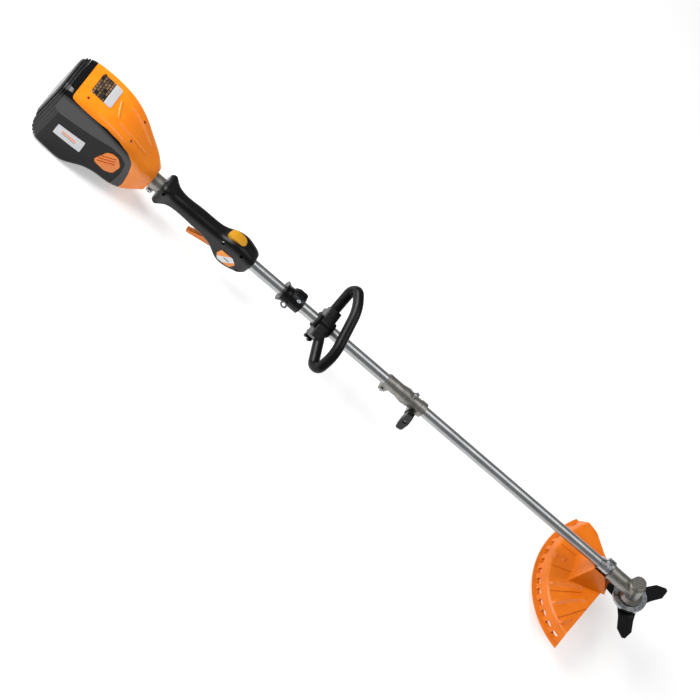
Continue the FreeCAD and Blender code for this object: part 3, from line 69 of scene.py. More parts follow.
# ---- colours and nodes --------------------------------------------------------------------
def linear(code):
    """sRGB hex such as F28A1E turned into linear red, green, blue and alpha 1."""
    values = [int(code[i:i + 2], 16) / 255.0 for i in (0, 2, 4)]
    return tuple(v / 12.92 if v <= 0.04045 else ((v + 0.055) / 1.055) ** 2.4 for v in values) + (1.0,)


def add(tree, kind, inputs=None, **settings):
    """One node with its settings; an input given as a socket is joined, any other is its value."""
    made = tree.nodes.new(kind)
    for key, value in settings.items():
        setattr(made, key, value)
    for key, value in (inputs or {}).items():
        if isinstance(value, bpy.types.NodeSocket):
            tree.links.new(value, made.inputs[key])
        else:
            made.inputs[key].default_value = value
    return made


def start(name):
    """An empty material with its shader, its object coordinates and its node tree."""
    material = bpy.data.materials.new(name)
    material.use_nodes = True
    tree = material.node_tree
    tree.nodes.clear()
    shader = add(tree, "ShaderNodeBsdfPrincipled")
    output = add(tree, "ShaderNodeOutputMaterial")
    tree.links.new(shader.outputs["BSDF"], output.inputs["Surface"])
    place = add(tree, "ShaderNodeTexCoord").outputs["Object"]
    return material, tree, shader, place


def noise(tree, place, size_mm, detail=2.0, stretch=(1.0, 1.0, 1.0)):
    """Cloudy pattern whose blotches are about size_mm across, longer where stretch is under 1."""
    mapped = add(tree, "ShaderNodeMapping", {"Vector": place, "Scale": stretch})
    inputs = {"Vector": mapped.outputs["Vector"], "Scale": 1.0 / (size_mm * MM), "Detail": detail}
    return add(tree, "ShaderNodeTexNoise", inputs).outputs["Fac"]


def as_colour(value):
    """A hex value, a grey number or a ready colour as red, green, blue and alpha."""
    if isinstance(value, str):
        return linear(value)
    return value if isinstance(value, tuple) else (value, value, value, 1.0)


def shades(tree, factor, low, high, start_at=0.35, end_at=0.65):
    """Colours between two colours or greys, by a factor."""
    ramp = add(tree, "ShaderNodeValToRGB", {"Fac": factor})
    first, last = ramp.color_ramp.elements
    first.position, last.position = start_at, end_at
    first.color, last.color = as_colour(low), as_colour(high)
    return ramp.outputs["Color"]


def bump(tree, height, depth_mm):
    """Relief from a height pattern, depth_mm deep."""
    return add(tree, "ShaderNodeBump", {"Height": height, "Distance": depth_mm * MM}).outputs["Normal"]


def shaft_mm(tree, place):
    """Object coordinates turned into the shaft's own axes, in mm from the head's nose."""
    inputs = {"Vector": place, "Location": tuple(NOSE), "Rotation": SHAFT_TURN, "Scale": (MM, MM, MM)}
    mapped = add(tree, "ShaderNodeMapping", inputs, vector_type="TEXTURE")
    return add(tree, "ShaderNodeSeparateXYZ", {"Vector": mapped.outputs["Vector"]}).outputs


def calc(tree, operation, first, second=0.0):
    """One sum of two numbers or sockets."""
    return add(tree, "ShaderNodeMath", {0: first, 1: second}, operation=operation).outputs["Value"]


def band(tree, value, middle, half):
    """1 where a value lies within half of middle, else 0."""
    away = calc(tree, "ABSOLUTE", calc(tree, "SUBTRACT", value, middle))
    return calc(tree, "LESS_THAN", away, half)


def blended(tree, factor, first, second):
    """Colour first where the factor is 0 and second where it is 1; each is a hex value or a socket."""
    mixed = add(tree, "ShaderNodeMix", {"Factor": factor}, data_type="RGBA")
    colour_inputs = [socket for socket in mixed.inputs if socket.type == "RGBA"]
    for end, socket in zip((first, second), colour_inputs):
        if isinstance(end, bpy.types.NodeSocket):
            tree.links.new(end, socket)
        else:
            socket.default_value = linear(end)
    return next(socket for socket in mixed.outputs if socket.type == "RGBA")


# ---- how each finish is made --------------------------------------------------------------
# Patterns, by the size of their blotches in mm.
MELT_MM = 38.0                 # slow change of a moulding's colour, where the melt flowed
RUB_MM = 9.0                   # patches of a moulding polished by handling
CAST_MM = 12.0                 # mottling of a shot-blasted casting
TUBE_MM = 45.0                 # slow change of a drawn tube's colour
PLATING_MM = 6.0               # clouds of a plated surface, where it dried
PLATING_FINE_MM = 0.8          # fine unevenness of a plated surface
PLATING_DEPTH = 0.003          # its depth, in mm
STREAK = (0.01, 1.0, 1.0)      # draws a pattern out to a hundred times its width, along X

# Lowest and highest roughness over a surface, as shares of the finish's own.
RUBBED, PITTED, STREAKED, CLOUDED = (0.85, 1.15), (0.85, 1.2), (0.8, 1.25), (0.7, 1.3)


def uneven(tree, factor, roughness, shares):
    """Roughness that moves between two shares of its value, by a factor."""
    return shades(tree, factor, roughness * shares[0], roughness * shares[1])


def tinted(name, dark, light):
    """Both ends of a plastic's colour, moved with the colour that the panel gives for it."""
    ends = [np.array(linear(code)) for code in (dark, light)]
    if name not in PANEL_COLOURS:
        return [tuple(end) for end in ends]
    chosen = getattr(bpy.context.scene.brushcutter_colours, PANEL_COLOURS[name])
    asked = np.array(tuple(chosen) + (1.0,))
    return [tuple(asked * end / ends[1]) for end in ends]


def moulded(name, dark, light, roughness, grain_mm, grain_depth, gloss=0.5):
    """Moulded plastic: even colour with a slight cloudiness, and the fine grain of an etched mould."""
    material, tree, shader, place = start(name)
    cloud = noise(tree, place, MELT_MM, 3.0)
    rub = noise(tree, place, RUB_MM, 4.0)
    grain = noise(tree, place, grain_mm, 1.0)
    shader.inputs["Specular IOR Level"].default_value = gloss
    tree.links.new(shades(tree, cloud, *tinted(name, dark, light)), shader.inputs["Base Color"])
    tree.links.new(uneven(tree, rub, roughness, RUBBED), shader.inputs["Roughness"])
    tree.links.new(bump(tree, grain, grain_depth), shader.inputs["Normal"])
    return material


def cast(name, dark, light, roughness, grain_mm, grain_depth):
    """Die-cast metal, shot-blasted: mottled grey with small pits."""
    material, tree, shader, place = start(name)
    cloud = noise(tree, place, CAST_MM, 5.0)
    grain = noise(tree, place, grain_mm, 3.0)
    shader.inputs["Metallic"].default_value = 1.0
    tree.links.new(shades(tree, cloud, dark, light, 0.3, 0.7), shader.inputs["Base Color"])
    tree.links.new(uneven(tree, grain, roughness, PITTED), shader.inputs["Roughness"])
    tree.links.new(bump(tree, grain, grain_depth), shader.inputs["Normal"])
    return material


def drawn(name, dark, light, roughness, line_mm, depth):
    """Drawn metal: fine lines that run along the shaft, a hundred times longer than wide."""
    material, tree, shader, place = start(name)
    inputs = {"Vector": place, "Rotation": SHAFT_TURN}
    turned = add(tree, "ShaderNodeMapping", inputs, vector_type="TEXTURE").outputs["Vector"]
    lines = noise(tree, turned, line_mm, 2.0, STREAK)
    cloud = noise(tree, place, TUBE_MM, 3.0)
    shader.inputs["Metallic"].default_value = 1.0
    tree.links.new(shades(tree, cloud, dark, light), shader.inputs["Base Color"])
    tree.links.new(uneven(tree, lines, roughness, STREAKED), shader.inputs["Roughness"])
    tree.links.new(bump(tree, lines, depth), shader.inputs["Normal"])
    return material


def plated(name, dark, light, roughness):
    """Bright plate or polish on steel or brass, with faint clouds where it dried."""
    material, tree, shader, place = start(name)
    cloud = noise(tree, place, PLATING_MM, 4.0)
    fine = noise(tree, place, PLATING_FINE_MM, 2.0)
    shader.inputs["Metallic"].default_value = 1.0
    tree.links.new(shades(tree, cloud, dark, light, 0.3, 0.7), shader.inputs["Base Color"])
    tree.links.new(uneven(tree, cloud, roughness, CLOUDED), shader.inputs["Roughness"])
    tree.links.new(bump(tree, fine, PLATING_DEPTH), shader.inputs["Normal"])
    return material


PLATE_SPLIT_X = -179.0         # where the plate's dark ground gives way to its pale strip, in mm
PLATE_FIELD = (8.5, 6.2, 1.0)  # width, height and gap of the plate's blank fields, in mm
PLATE_LINE = (23.0, 2.6, 0.9)  # length, pitch and gap of the pale strip's plain lines, in mm
PLATE_LEAN = 0.1               # how far the fields lean to their second colour


def tiles(tree, place, size, first, second, gap_colour, lean=0.0):
    """Rows of plain blocks in two colours; size is their width, height and gap in mm."""
    width, height, gap = size
    inputs = {"Vector": place, "Scale": 1.0, "Mortar Size": gap, "Brick Width": width, "Row Height": height,
              "Color1": linear(first), "Color2": linear(second), "Mortar": linear(gap_colour), "Bias": lean}
    return add(tree, "ShaderNodeTexBrick", inputs).outputs["Color"]


def printed_plate(name, ground, field, strip, line, roughness):
    """Printed film on the cover: dark ground with rows of blank fields, and a pale strip at its front."""
    material, tree, shader, place = start(name)
    axes = shaft_mm(tree, place)
    crossed = add(tree, "ShaderNodeCombineXYZ", {"X": axes["Y"], "Y": axes["X"]}).outputs["Vector"]
    rows = tiles(tree, crossed, PLATE_FIELD, field, ground, ground, PLATE_LEAN)
    lines = tiles(tree, crossed, PLATE_LINE, strip, line, strip)
    front = calc(tree, "GREATER_THAN", axes["X"], PLATE_SPLIT_X)
    tree.links.new(blended(tree, front, rows, lines), shader.inputs["Base Color"])
    shader.inputs["Roughness"].default_value = roughness
    return material


BADGE_X, BADGE_Z = -182.0, 3.0      # middle of the battery's badges, in mm
BADGE_BAR_HALF = 17.0               # half length of the bar and the line on them
BADGE_BAR = (BADGE_Z + 2.5, 2.2)    # the bar's middle height and half width
BADGE_LINE = (BADGE_Z - 3.5, 0.8)   # the same for the line under it
BADGE_METAL = 0.25                  # share of metal in the film


def silver_badge(name, silver, bar, thread, roughness):
    """Metallised film on the battery: silver, with one plain coloured bar and a thin dark line under it."""
    material, tree, shader, place = start(name)
    axes = shaft_mm(tree, place)
    inside = band(tree, axes["X"], BADGE_X, BADGE_BAR_HALF)
    wide = calc(tree, "MULTIPLY", band(tree, axes["Z"], *BADGE_BAR), inside)
    thin = calc(tree, "MULTIPLY", band(tree, axes["Z"], *BADGE_LINE), inside)
    colour = blended(tree, thin, blended(tree, wide, silver, bar), thread)
    tree.links.new(colour, shader.inputs["Base Color"])
    shader.inputs["Roughness"].default_value = roughness
    shader.inputs["Metallic"].default_value = BADGE_METAL
    return material


GRIP_BADGE_MIDDLE = 234.0      # where the white field of the grip's badges crosses the shaft's axis, in mm
GRIP_BADGE_LEAN = 0.8          # how far that field leans forward for each mm up
GRIP_BADGE_HALF = 11.0         # half width of that field
GRIP_BADGE_LINE = (-11.0, 1.5)  # middle height and half width of the thin line across it
GRIP_BADGE_LINE_HALF = 7.0     # half length of that line


def grip_badge(name, orange, white, thread, roughness):
    """Moulded badge on the grip: orange, with a slanting white field and a thin dark line across it."""
    material, tree, shader, place = start(name)
    axes = shaft_mm(tree, place)
    slant = calc(tree, "SUBTRACT", axes["X"], calc(tree, "MULTIPLY", axes["Z"], GRIP_BADGE_LEAN))
    field = band(tree, slant, GRIP_BADGE_MIDDLE, GRIP_BADGE_HALF)
    short = band(tree, slant, GRIP_BADGE_MIDDLE, GRIP_BADGE_LINE_HALF)
    stroke = calc(tree, "MULTIPLY", band(tree, axes["Z"], *GRIP_BADGE_LINE), short)
    colour = blended(tree, stroke, blended(tree, field, orange, white), thread)
    tree.links.new(colour, shader.inputs["Base Color"])
    shader.inputs["Roughness"].default_value = roughness
    return material


# Plastics: darker and lighter colour, roughness, grain in mm across and deep, and gloss.
# Metals: darker and lighter colour, roughness, then grain or line in mm across and deep.
# Films and badges: their colours, then roughness.
FINISHES = {
    # Polished mould, pigment through: clear reflections over a warm orange.
    "glossy_orange_abs": (moulded, ("EA7C0C", "F08412", 0.2, 1.2, 0.006, 0.4)),
    # Spark-eroded mould: a soft sheen, and a deeper orange than the polished cover.
    "satin_orange_polypropylene": (moulded, ("D66A08", "E0740F", 0.32, 1.1, 0.03, 0.35)),
    # Buttons and trigger: finer spark erosion, so small highlights stay on the ribs.
    "satin_orange_abs": (moulded, ("DE7414", "E67E1C", 0.34, 0.9, 0.02, 0.35)),
    # The lock-off button: yellower than the rest, with the same sheen.
    "amber_abs": (moulded, ("BE8618", "CC9222", 0.34, 0.9, 0.02, 0.35)),
    # Piano black: dark enough that only the lights show.
    "glossy_black_abs": (moulded, ("030304", "050506", 0.10, 1.6, 0.004, 0.4)),
    # Etched mould: a flat black whose highlights spread and fade.
    "charcoal_abs": (moulded, ("050507", "09090B", 0.36, 0.8, 0.03, 0.12)),
    # Moulded nylon: black with a waxy sheen on its rounds.
    "black_nylon": (moulded, ("060607", "0A0A0B", 0.32, 0.8, 0.04, 0.25)),
    # Moulded loop handle: black, a little smoother than the grip.
    "black_polypropylene": (moulded, ("050506", "080809", 0.30, 0.9, 0.03, 0.2)),
    # Pressed rubber: black without any highlight.
    "black_rubber": (moulded, ("060606", "0A0A0A", 0.75, 1.0, 0.08)),
    # Unseen mouldings: plain dark grey, matt.
    "inner_black_nylon": (moulded, ("1A1A1B", "222223", 0.6, 1.0, 0.05)),
    # Unpigmented nylon: creamy white.
    "natural_nylon": (moulded, ("D6D0BE", "E2DCCB", 0.45, 1.0, 0.03)),
    # Lacquered circuit board: dark green with an even gloss.
    "coated_board": (moulded, ("0F3A22", "14502E", 0.35, 2.0, 0.02)),
    # Shrunk sleeve on the cells: blue, with slow wrinkles.
    "shrink_wrap": (moulded, ("2A5E9E", "3169AD", 0.3, 4.0, 0.02)),
    # Metallised film: pale silver with one orange bar.
    "silver_label_film": (silver_badge, ("B8B9BC", "E07414", "1A1A1C", 0.3)),
    # Two-shot badge: orange, crossed by a white field.
    "two_colour_badge": (grip_badge, ("EC8A20", "DCDCDE", "1A1A1C", 0.3)),
    # Printed polyester film: near-black ground with tan fields, and a light grey strip.
    "printed_label_film": (printed_plate, ("101012", "8A6A4A", "B4B4B6", "9C9C9E", 0.28)),
    # Clear-anodised drawn tube: pale, satin, streaked lengthwise.
    "anodised_aluminium": (drawn, ("A2A3A4", "B0B1B2", 0.30, 0.35, 0.006)),
    # Centreless-ground bar: brighter and smoother than the tube.
    "ground_steel": (drawn, ("8E8F92", "9C9DA0", 0.28, 0.3, 0.005)),
    # Shot-blasted casting: warm mid grey, finely pitted.
    "cast_aluminium": (cast, ("82807C", "9A9893", 0.40, 0.9, 0.05)),
    # The same casting, tumbled smoother for the gear case.
    "gear_case_casting": (cast, ("8A8782", "A3A09A", 0.36, 0.9, 0.05)),
    # Stamped laminations: dark grey and dull.
    "laminated_steel": (cast, ("4A4A4E", "5C5C60", 0.5, 0.8, 0.03)),
    # Bright zinc plate: bluish, and nearly a mirror.
    "zinc_plated_steel": (plated, ("A9ADB2", "C3C7CB", 0.26)),
    # Polished bearing steel: neutral and brighter still.
    "bearing_steel": (plated, ("A8A9AB", "B8B9BB", 0.2)),
    # Stamped brass strip: yellow and clean.
    "stamped_brass": (plated, ("C09A45", "D2AC55", 0.28)),
    # Black oxide over a sanded blank: the dark layer hides the metal, so it is made like a plastic, with the
    # coarser grain that sanding leaves.
    "black_oxide_steel": (moulded, ("040405", "09090B", 0.30, 2.2, 0.02, 0.3)),
}

# Finishes whose colour stands in the panel, and the property that holds it.
PANEL_COLOURS = {
    "glossy_orange_abs": "cover",
    "satin_orange_polypropylene": "guard",
    "satin_orange_abs": "buttons",
    "amber_abs": "lock_off",
    "charcoal_abs": "battery",
    "black_nylon": "grip",
    "black_polypropylene": "loop",
}
MATERIALS = {}


def finish_named(name):
    """The finish of that name, made the first time it is asked for."""
    if name not in MATERIALS:
        kind, settings = FINISHES[name]
        MATERIALS[name] = kind(name, *settings)
    return MATERIALS[name]


def paint(**nodes_of):
    """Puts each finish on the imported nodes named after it."""
    for finish, nodes in nodes_of.items():
        for node in nodes.split():
            thing = frame["nodes"][node]
            if not thing.material_slots:
                thing.data.materials.append(None)
            for slot in thing.material_slots:
                slot.material = finish_named(finish)


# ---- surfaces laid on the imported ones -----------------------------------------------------
FOLD_ROWS, FOLD_COLUMNS = 81, 17
FOLD_SINK = 0.08               # how far a fold's edge lies under the surface it grows from, in mm
FOLD_END = 8.0                 # a fold rises over one part in this many of its length, at either end
OVER_HEAD = 150.0              # plane from which the cover's folds are let down, above the shaft, in mm
OVER_GUARD = 40.0              # the same for the guard's folds, above its top face, in mm
GUARD_TOP = -18.0              # guard's top face below the shaft, along the spindle, in mm


def piece(name, points, faces, finish, body):
    """A smooth mesh object from arrays, with its finish, riding on a body."""
    mesh = bpy.data.meshes.new(name)
    mesh.from_pydata(points.reshape(-1, 3).tolist(), [], faces.tolist())
    mesh.update()
    mesh.materials.append(finish_named(finish))
    mesh.polygons.foreach_set("use_smooth", np.full(len(mesh.polygons), True))
    thing = bpy.data.objects.new(name, mesh)
    bpy.context.scene.collection.objects.link(thing)
    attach(thing, body)
    return thing


def curve_and_side(start_at, pull, end_at, count):
    """Points along a curve with one control point, and the unit direction square to it at each.

    A point is (1 - t) squared of the start, 2 t (1 - t) of the pull and t squared of the end.
    """
    t = np.linspace(0.0, 1.0, count)[:, None]
    a, b, c = (np.array(p, dtype=float) for p in (start_at, pull, end_at))
    along = (1 - t) ** 2 * a + 2 * t * (1 - t) * b + t ** 2 * c
    way = 2 * (1 - t) * (b - a) + 2 * t * (c - b)
    way /= np.linalg.norm(way, axis=1, keepdims=True)
    return along, np.stack([-way[:, 1], way[:, 0]], axis=1)


def grid_faces(rows, columns):
    """Quads of a grid of points, row by row."""
    first = (np.arange(rows - 1)[:, None] * columns + np.arange(columns - 1)[None, :]).ravel()
    return np.stack([first, first + columns, first + columns + 1, first + 1], axis=1)


def dropped(points, faces, onto):
    """Points let down along the row frame's Z onto a packed surface; stops if any of them misses it."""
    mesh = bpy.data.meshes.new("drop")
    mesh.from_pydata(points.reshape(-1, 3).tolist(), [], faces.tolist())
    thing = bpy.data.objects.new("drop", mesh)
    bpy.context.scene.collection.objects.link(thing)
    wrap = thing.modifiers.new("lie", "SHRINKWRAP")
    wrap.target = frame["nodes"][onto]
    wrap.wrap_method = "PROJECT"
    wrap.use_project_z = True
    wrap.use_negative_direction, wrap.use_positive_direction = True, False
    laid = thing.evaluated_get(bpy.context.evaluated_depsgraph_get()).to_mesh()
    found = np.empty(len(laid.vertices) * 3)
    laid.vertices.foreach_get("co", found)
    bpy.data.objects.remove(thing)
    bpy.data.meshes.remove(mesh)
    found = found.reshape(points.shape)
    if np.any(points[..., 2] - found[..., 2] < 1e-6):
        raise RuntimeError("a fold leaves " + onto)
    return found


def fold(name, curve, half_mm, rise_mm, onto, finish, lay, out):
    """A smooth moulded fold laid on a packed surface.

    Across its width the height follows a squared cosine, so it meets the surface without a step; along
    its length it rises and falls over the first and last eighth.  lay turns plane points into row
    points above the surface, and out is the direction in which the fold stands up.
    """
    along, side = curve_and_side(*curve, FOLD_ROWS)
    across = np.linspace(-1.0, 1.0, FOLD_COLUMNS)
    flat = along[:, None, :] + across[None, :, None] * side[:, None, :] * half_mm
    faces = grid_faces(FOLD_ROWS, FOLD_COLUMNS)
    points = dropped(lay(flat), faces, onto)
    u = np.linspace(0.0, 1.0, FOLD_ROWS)
    ends = np.clip(np.minimum(u, 1.0 - u) * FOLD_END, 0.0, 1.0)
    ends = ends * ends * (3.0 - 2.0 * ends)
    height = (np.cos(across * pi / 2) ** 2)[None, :] * ends[:, None] * rise_mm - FOLD_SINK
    return piece(name, points + height[..., None] * MM * out, faces[:, ::-1], finish, "machine")


def over_head(flat):
    """Lays plane points along the shaft and across it, at one height over the head."""
    level = np.full(flat.shape[:-1] + (1,), OVER_HEAD)
    return on_shaft(np.concatenate([flat, level], axis=-1))


def over_guard(flat):
    """Lays plane points square to the spindle, straight above the guard's top face."""
    ahead = np.cross(SPINDLE_UP, -SHAFT_Y)
    ahead = ahead / np.linalg.norm(ahead)
    level = SPINDLE + flat[..., :1] * MM * ahead + flat[..., 1:2] * MM * SHAFT_Y
    return level + GUARD_TOP * MM * SPINDLE_UP + np.array([0.0, 0.0, OVER_GUARD * MM])


# ---- what a user can change ---------------------------------------------------------------
def colour_property(name, description, finish):
    """A colour in the panel, whose default is the lighter colour of a finish."""
    return FloatVectorProperty(name=name, description=description, subtype="COLOR", min=0.0, max=1.0,
                               default=linear(FINISHES[finish][1][1])[:3])


def length_property(name, description, size_mm):
    """A length in the panel, whose default is given in mm."""
    return FloatProperty(name=name, description=description, default=size_mm * MM, min=0.0,
                         unit="LENGTH", subtype="DISTANCE")


class ColourSettings(bpy.types.PropertyGroup):
    """Colours of the plastics."""

    cover: colour_property("Cover", "Glossy plastic of the head's cover", "glossy_orange_abs")
    guard: colour_property("Guard", "Satin plastic of the guard", "satin_orange_polypropylene")
    buttons: colour_property("Buttons", "Release buttons and trigger", "satin_orange_abs")
    lock_off: colour_property("Lock-off button", "Button on top of the grip", "amber_abs")
    battery: colour_property("Battery", "Battery case", "charcoal_abs")
    grip: colour_property("Grip", "Grip, harness collar, coupling knob and battery back", "black_nylon")
    loop: colour_property("Loop handle", "Loop handle with its clamp and knob", "black_polypropylene")


class FoldSettings(bpy.types.PropertyGroup):
    """Moulded folds of the cover and the guard."""

    cover_rise: length_property("Cover fold", "Height of the folds on the cover", 1.6)
    cover_half: length_property("Cover fold width", "Half width of a fold on the cover", 4.5)
    guard_rise: length_property("Guard fold", "Height of the folds on the guard", 3.0)
    guard_half: length_property("Guard fold width", "Half width of a fold on the guard", 9.0)


class StageSettings(bpy.types.PropertyGroup):
    """Camera, floor and lights."""

    azimuth: FloatProperty(name="Camera azimuth", description="Where the camera stands, from +X",
                           default=radians(-118.76), subtype="ANGLE")
    elevation: FloatProperty(name="Camera elevation", description="Height above the horizon",
                             default=radians(47.75), subtype="ANGLE")
    roll: FloatProperty(name="Camera roll", description="Turn of the camera about its own axis",
                        default=radians(64.44), subtype="ANGLE")
    lens: FloatProperty(name="Focal length", description="Focal length on a 36 mm sensor",
                        default=78.43, min=1.0, unit="CAMERA")
    floor: FloatVectorProperty(name="Floor", description="Colour of the floor", subtype="COLOR",
                               default=(0.9, 0.9, 0.9), min=0.0, max=1.0)
    glow: FloatProperty(name="Floor glow", description="Light that the floor sheet gives off by itself",
                        default=0.4, min=0.0)
    key: FloatProperty(name="Key light", description="Power of the large soft light", default=88.0,
                       min=0.0, unit="POWER")
    fill: FloatProperty(name="Fill light", description="Power of the light on the other side",
                        default=20.0, min=0.0, unit="POWER")


# ---- stage --------------------------------------------------------------------------------
CAMERA_AIM = Vector((0.7436, -0.0025, 0.1124))
CAMERA_DISTANCE = 3.280        # from the aim point to the lens, in m
FLOOR_HALF = 60.0              # half side of the floor sheet, in m
FLOOR_ROUGHNESS = 0.9          # matt paper
SENSOR_WIDTH = 36.0            # in mm
WORLD_STRENGTH = 0.28          # even light from all round
LOW_FILL = 0.25                # share of the fill light that comes from below the camera

# Each light, in m: how far it stands from the aim towards the camera, to its right and up, then its size.
LIGHTS = {
    "key": ((1.6, -0.6, 1.9), (1.8, 1.8)),
    "fill": ((1.6, 2.2, 0.2), (1.4, 2.2)),
    "low_fill": ((1.2, -1.8, -1.4), (1.6, 1.6)),
}


def make_floor(colour, glow):
    """A plain matt sheet, which also gives off a little light so that its shadows stay pale."""
    x, y = FLOOR_HALF, FLOOR_HALF
    mesh = bpy.data.meshes.new("floor")
    mesh.from_pydata([(-x, -y, 0), (x, -y, 0), (x, y, 0), (-x, y, 0)], [], [(0, 1, 2, 3)])
    floor = bpy.data.objects.new("floor", mesh)
    bpy.context.scene.collection.objects.link(floor)
    material, _, shader, _ = start("matt_floor_paper")
    shader.inputs["Base Color"].default_value = tuple(colour) + (1.0,)
    shader.inputs["Roughness"].default_value = FLOOR_ROUGHNESS
    shader.inputs["Emission Color"].default_value = (1.0, 1.0, 1.0, 1.0)
    shader.inputs["Emission Strength"].default_value = glow
    mesh.materials.append(material)


def make_camera(back, right, up, lens):
    """The camera, looking at the aim point."""
    data = bpy.data.cameras.new("camera")
    data.lens = lens
    data.sensor_width = SENSOR_WIDTH
    camera = bpy.data.objects.new("camera", data)
    turn = Matrix((right, up, back)).transposed().to_4x4()
    camera.matrix_world = Matrix.Translation(CAMERA_AIM + back * CAMERA_DISTANCE) @ turn
    bpy.context.scene.collection.objects.link(camera)
    bpy.context.scene.camera = camera


def area_light(name, at, size, power):
    """Soft light at a place, facing the aim point."""
    data = bpy.data.lights.new(name, "AREA")
    data.shape = "RECTANGLE"
    data.size, data.size_y = size
    data.energy = power
    light = bpy.data.objects.new(name, data)
    light.location = at
    light.rotation_euler = (CAMERA_AIM - at).to_track_quat("-Z", "Y").to_euler()
    bpy.context.scene.collection.objects.link(light)


class BRUSHCUTTER_OT_stage(bpy.types.Operator):
    """Makes the floor, the soft lights and the camera"""

    bl_idname = "brushcutter.stage"
    bl_label = "Stage"

    def execute(self, context):
        settings = context.scene.brushcutter_stage
        make_floor(settings.floor, settings.glow)
        level = cos(settings.elevation)
        back = Vector((level * cos(settings.azimuth), level * sin(settings.azimuth), sin(settings.elevation)))
        sideways = Vector((0, 0, 1)).cross(back).normalized()
        upright = back.cross(sideways)
        right = sideways * cos(settings.roll) + upright * sin(settings.roll)
        up = upright * cos(settings.roll) - sideways * sin(settings.roll)
        make_camera(back, right, up, settings.lens)
        powers = {"key": settings.key, "fill": settings.fill, "low_fill": settings.fill * LOW_FILL}
        for name, ((towards, aside, above), size) in LIGHTS.items():
            at = CAMERA_AIM + back * towards + right * aside + up * above
            area_light(name, at, size, powers[name])
        world = bpy.data.worlds.new("studio")
        world.use_nodes = True
        background = world.node_tree.nodes["Background"]
        background.inputs["Color"].default_value = (1.0, 1.0, 1.0, 1.0)
        background.inputs["Strength"].default_value = WORLD_STRENGTH
        context.scene.world = world
        context.scene.view_settings.view_transform = "Standard"
        return {"FINISHED"}


# ---- pieces -------------------------------------------------------------------------------
# Folds of the cover: start, pull and end, in mm along the shaft from the nose and to the left.
COVER_FOLDS = {
    "cover_crease_right": ((-131, -24), (-92, -28), (-38, -9)),
    "cover_crease_left": ((-131, 24), (-92, 28), (-38, 9)),
    "cover_scoop": ((-133, -22), (-143, -2), (-150, 20)),
}

# Folds of the guard: angle from straight back, and where each starts and ends from the spindle, in mm.
GUARD_FOLDS = ((27.0, 84.0, 198.0), (3.0, 168.0, 200.0), (-19.0, 112.0, 198.0), (-34.0, 108.0, 198.0),
               (-50.0, 168.0, 198.0))
GUARD_FOLD_SWEEP = 4.0         # how many degrees the middle of a fold stands off the line of its ends


class BRUSHCUTTER_OT_head(bpy.types.Operator):
    """Finishes the head's cover and shells, its printed plate and its screws"""

    bl_idname = "brushcutter.head"
    bl_label = "Head"

    def execute(self, context):
        paint(glossy_orange_abs="head_cover", glossy_black_abs="housing_left housing_right",
              printed_label_film="cover_plate", zinc_plated_steel="head_screws")
        return {"FINISHED"}


class BRUSHCUTTER_OT_cover_folds(bpy.types.Operator):
    """Adds the two creases that run down the cover towards the nose, and the scoop between them"""

    bl_idname = "brushcutter.cover_folds"
    bl_label = "Cover folds"

    def execute(self, context):
        settings = context.scene.brushcutter_folds
        for name, curve in COVER_FOLDS.items():
            fold(name, curve, settings.cover_half / MM, settings.cover_rise / MM, "head_cover",
                 "glossy_orange_abs", over_head, SHAFT_Z)
        return {"FINISHED"}


class BRUSHCUTTER_OT_motor(bpy.types.Operator):
    """Finishes the motor, its bracket and the electronics inside the head"""

    bl_idname = "brushcutter.motor"
    bl_label = "Motor and electronics"

    def execute(self, context):
        paint(cast_aluminium="motor_bracket", laminated_steel="motor_can motor_stator motor_rotor",
              inner_black_nylon="motor_fan battery_socket trigger_switch", bearing_steel="motor_bearings",
              coated_board="control_board")
        return {"FINISHED"}


class BRUSHCUTTER_OT_battery(bpy.types.Operator):
    """Finishes the battery, its badges and its release buttons"""

    bl_idname = "brushcutter.battery"
    bl_label = "Battery"

    def execute(self, context):
        paint(charcoal_abs="battery_case", black_nylon="battery_back", silver_label_film="battery_badges",
              shrink_wrap="battery_cells", stamped_brass="battery_contacts",
              satin_orange_abs="release_button_left release_button_right")
        return {"FINISHED"}


class BRUSHCUTTER_OT_grip(bpy.types.Operator):
    """Finishes the trigger grip, its badges, trigger and lock-off button"""

    bl_idname = "brushcutter.grip"
    bl_label = "Grip"

    def execute(self, context):
        paint(black_nylon="grip_left grip_right", two_colour_badge="grip_badges", satin_orange_abs="trigger",
              amber_abs="lock_off_button", zinc_plated_steel="grip_screws trigger_pin")
        return {"FINISHED"}


class BRUSHCUTTER_OT_shaft(bpy.types.Operator):
    """Finishes the two tubes with the drive shafts and bushes inside them"""

    bl_idname = "brushcutter.shaft"
    bl_label = "Shaft"

    def execute(self, context):
        paint(anodised_aluminium="upper_tube lower_tube", ground_steel="upper_drive_shaft lower_drive_shaft",
              natural_nylon="upper_bushes lower_bushes")
        return {"FINISHED"}


class BRUSHCUTTER_OT_collar(bpy.types.Operator):
    """Finishes the harness collar and its eye"""

    bl_idname = "brushcutter.collar"
    bl_label = "Harness collar"

    def execute(self, context):
        paint(black_nylon="harness_collar", zinc_plated_steel="harness_eye")
        return {"FINISHED"}


class BRUSHCUTTER_OT_loop(bpy.types.Operator):
    """Finishes the loop handle with its clamp, liner, bolts and knob"""

    bl_idname = "brushcutter.loop"
    bl_label = "Loop handle"

    def execute(self, context):
        paint(black_polypropylene="loop_handle loop_clamp loop_knob", black_rubber="loop_liner",
              zinc_plated_steel="loop_bolts")
        return {"FINISHED"}


class BRUSHCUTTER_OT_coupling(bpy.types.Operator):
    """Finishes the shaft coupling, its locking pin and its knob"""

    bl_idname = "brushcutter.coupling"
    bl_label = "Coupling"

    def execute(self, context):
        paint(cast_aluminium="coupling_body", black_nylon="coupling_knob",
              zinc_plated_steel="locking_pin knob_stud clamp_screws")
        return {"FINISHED"}


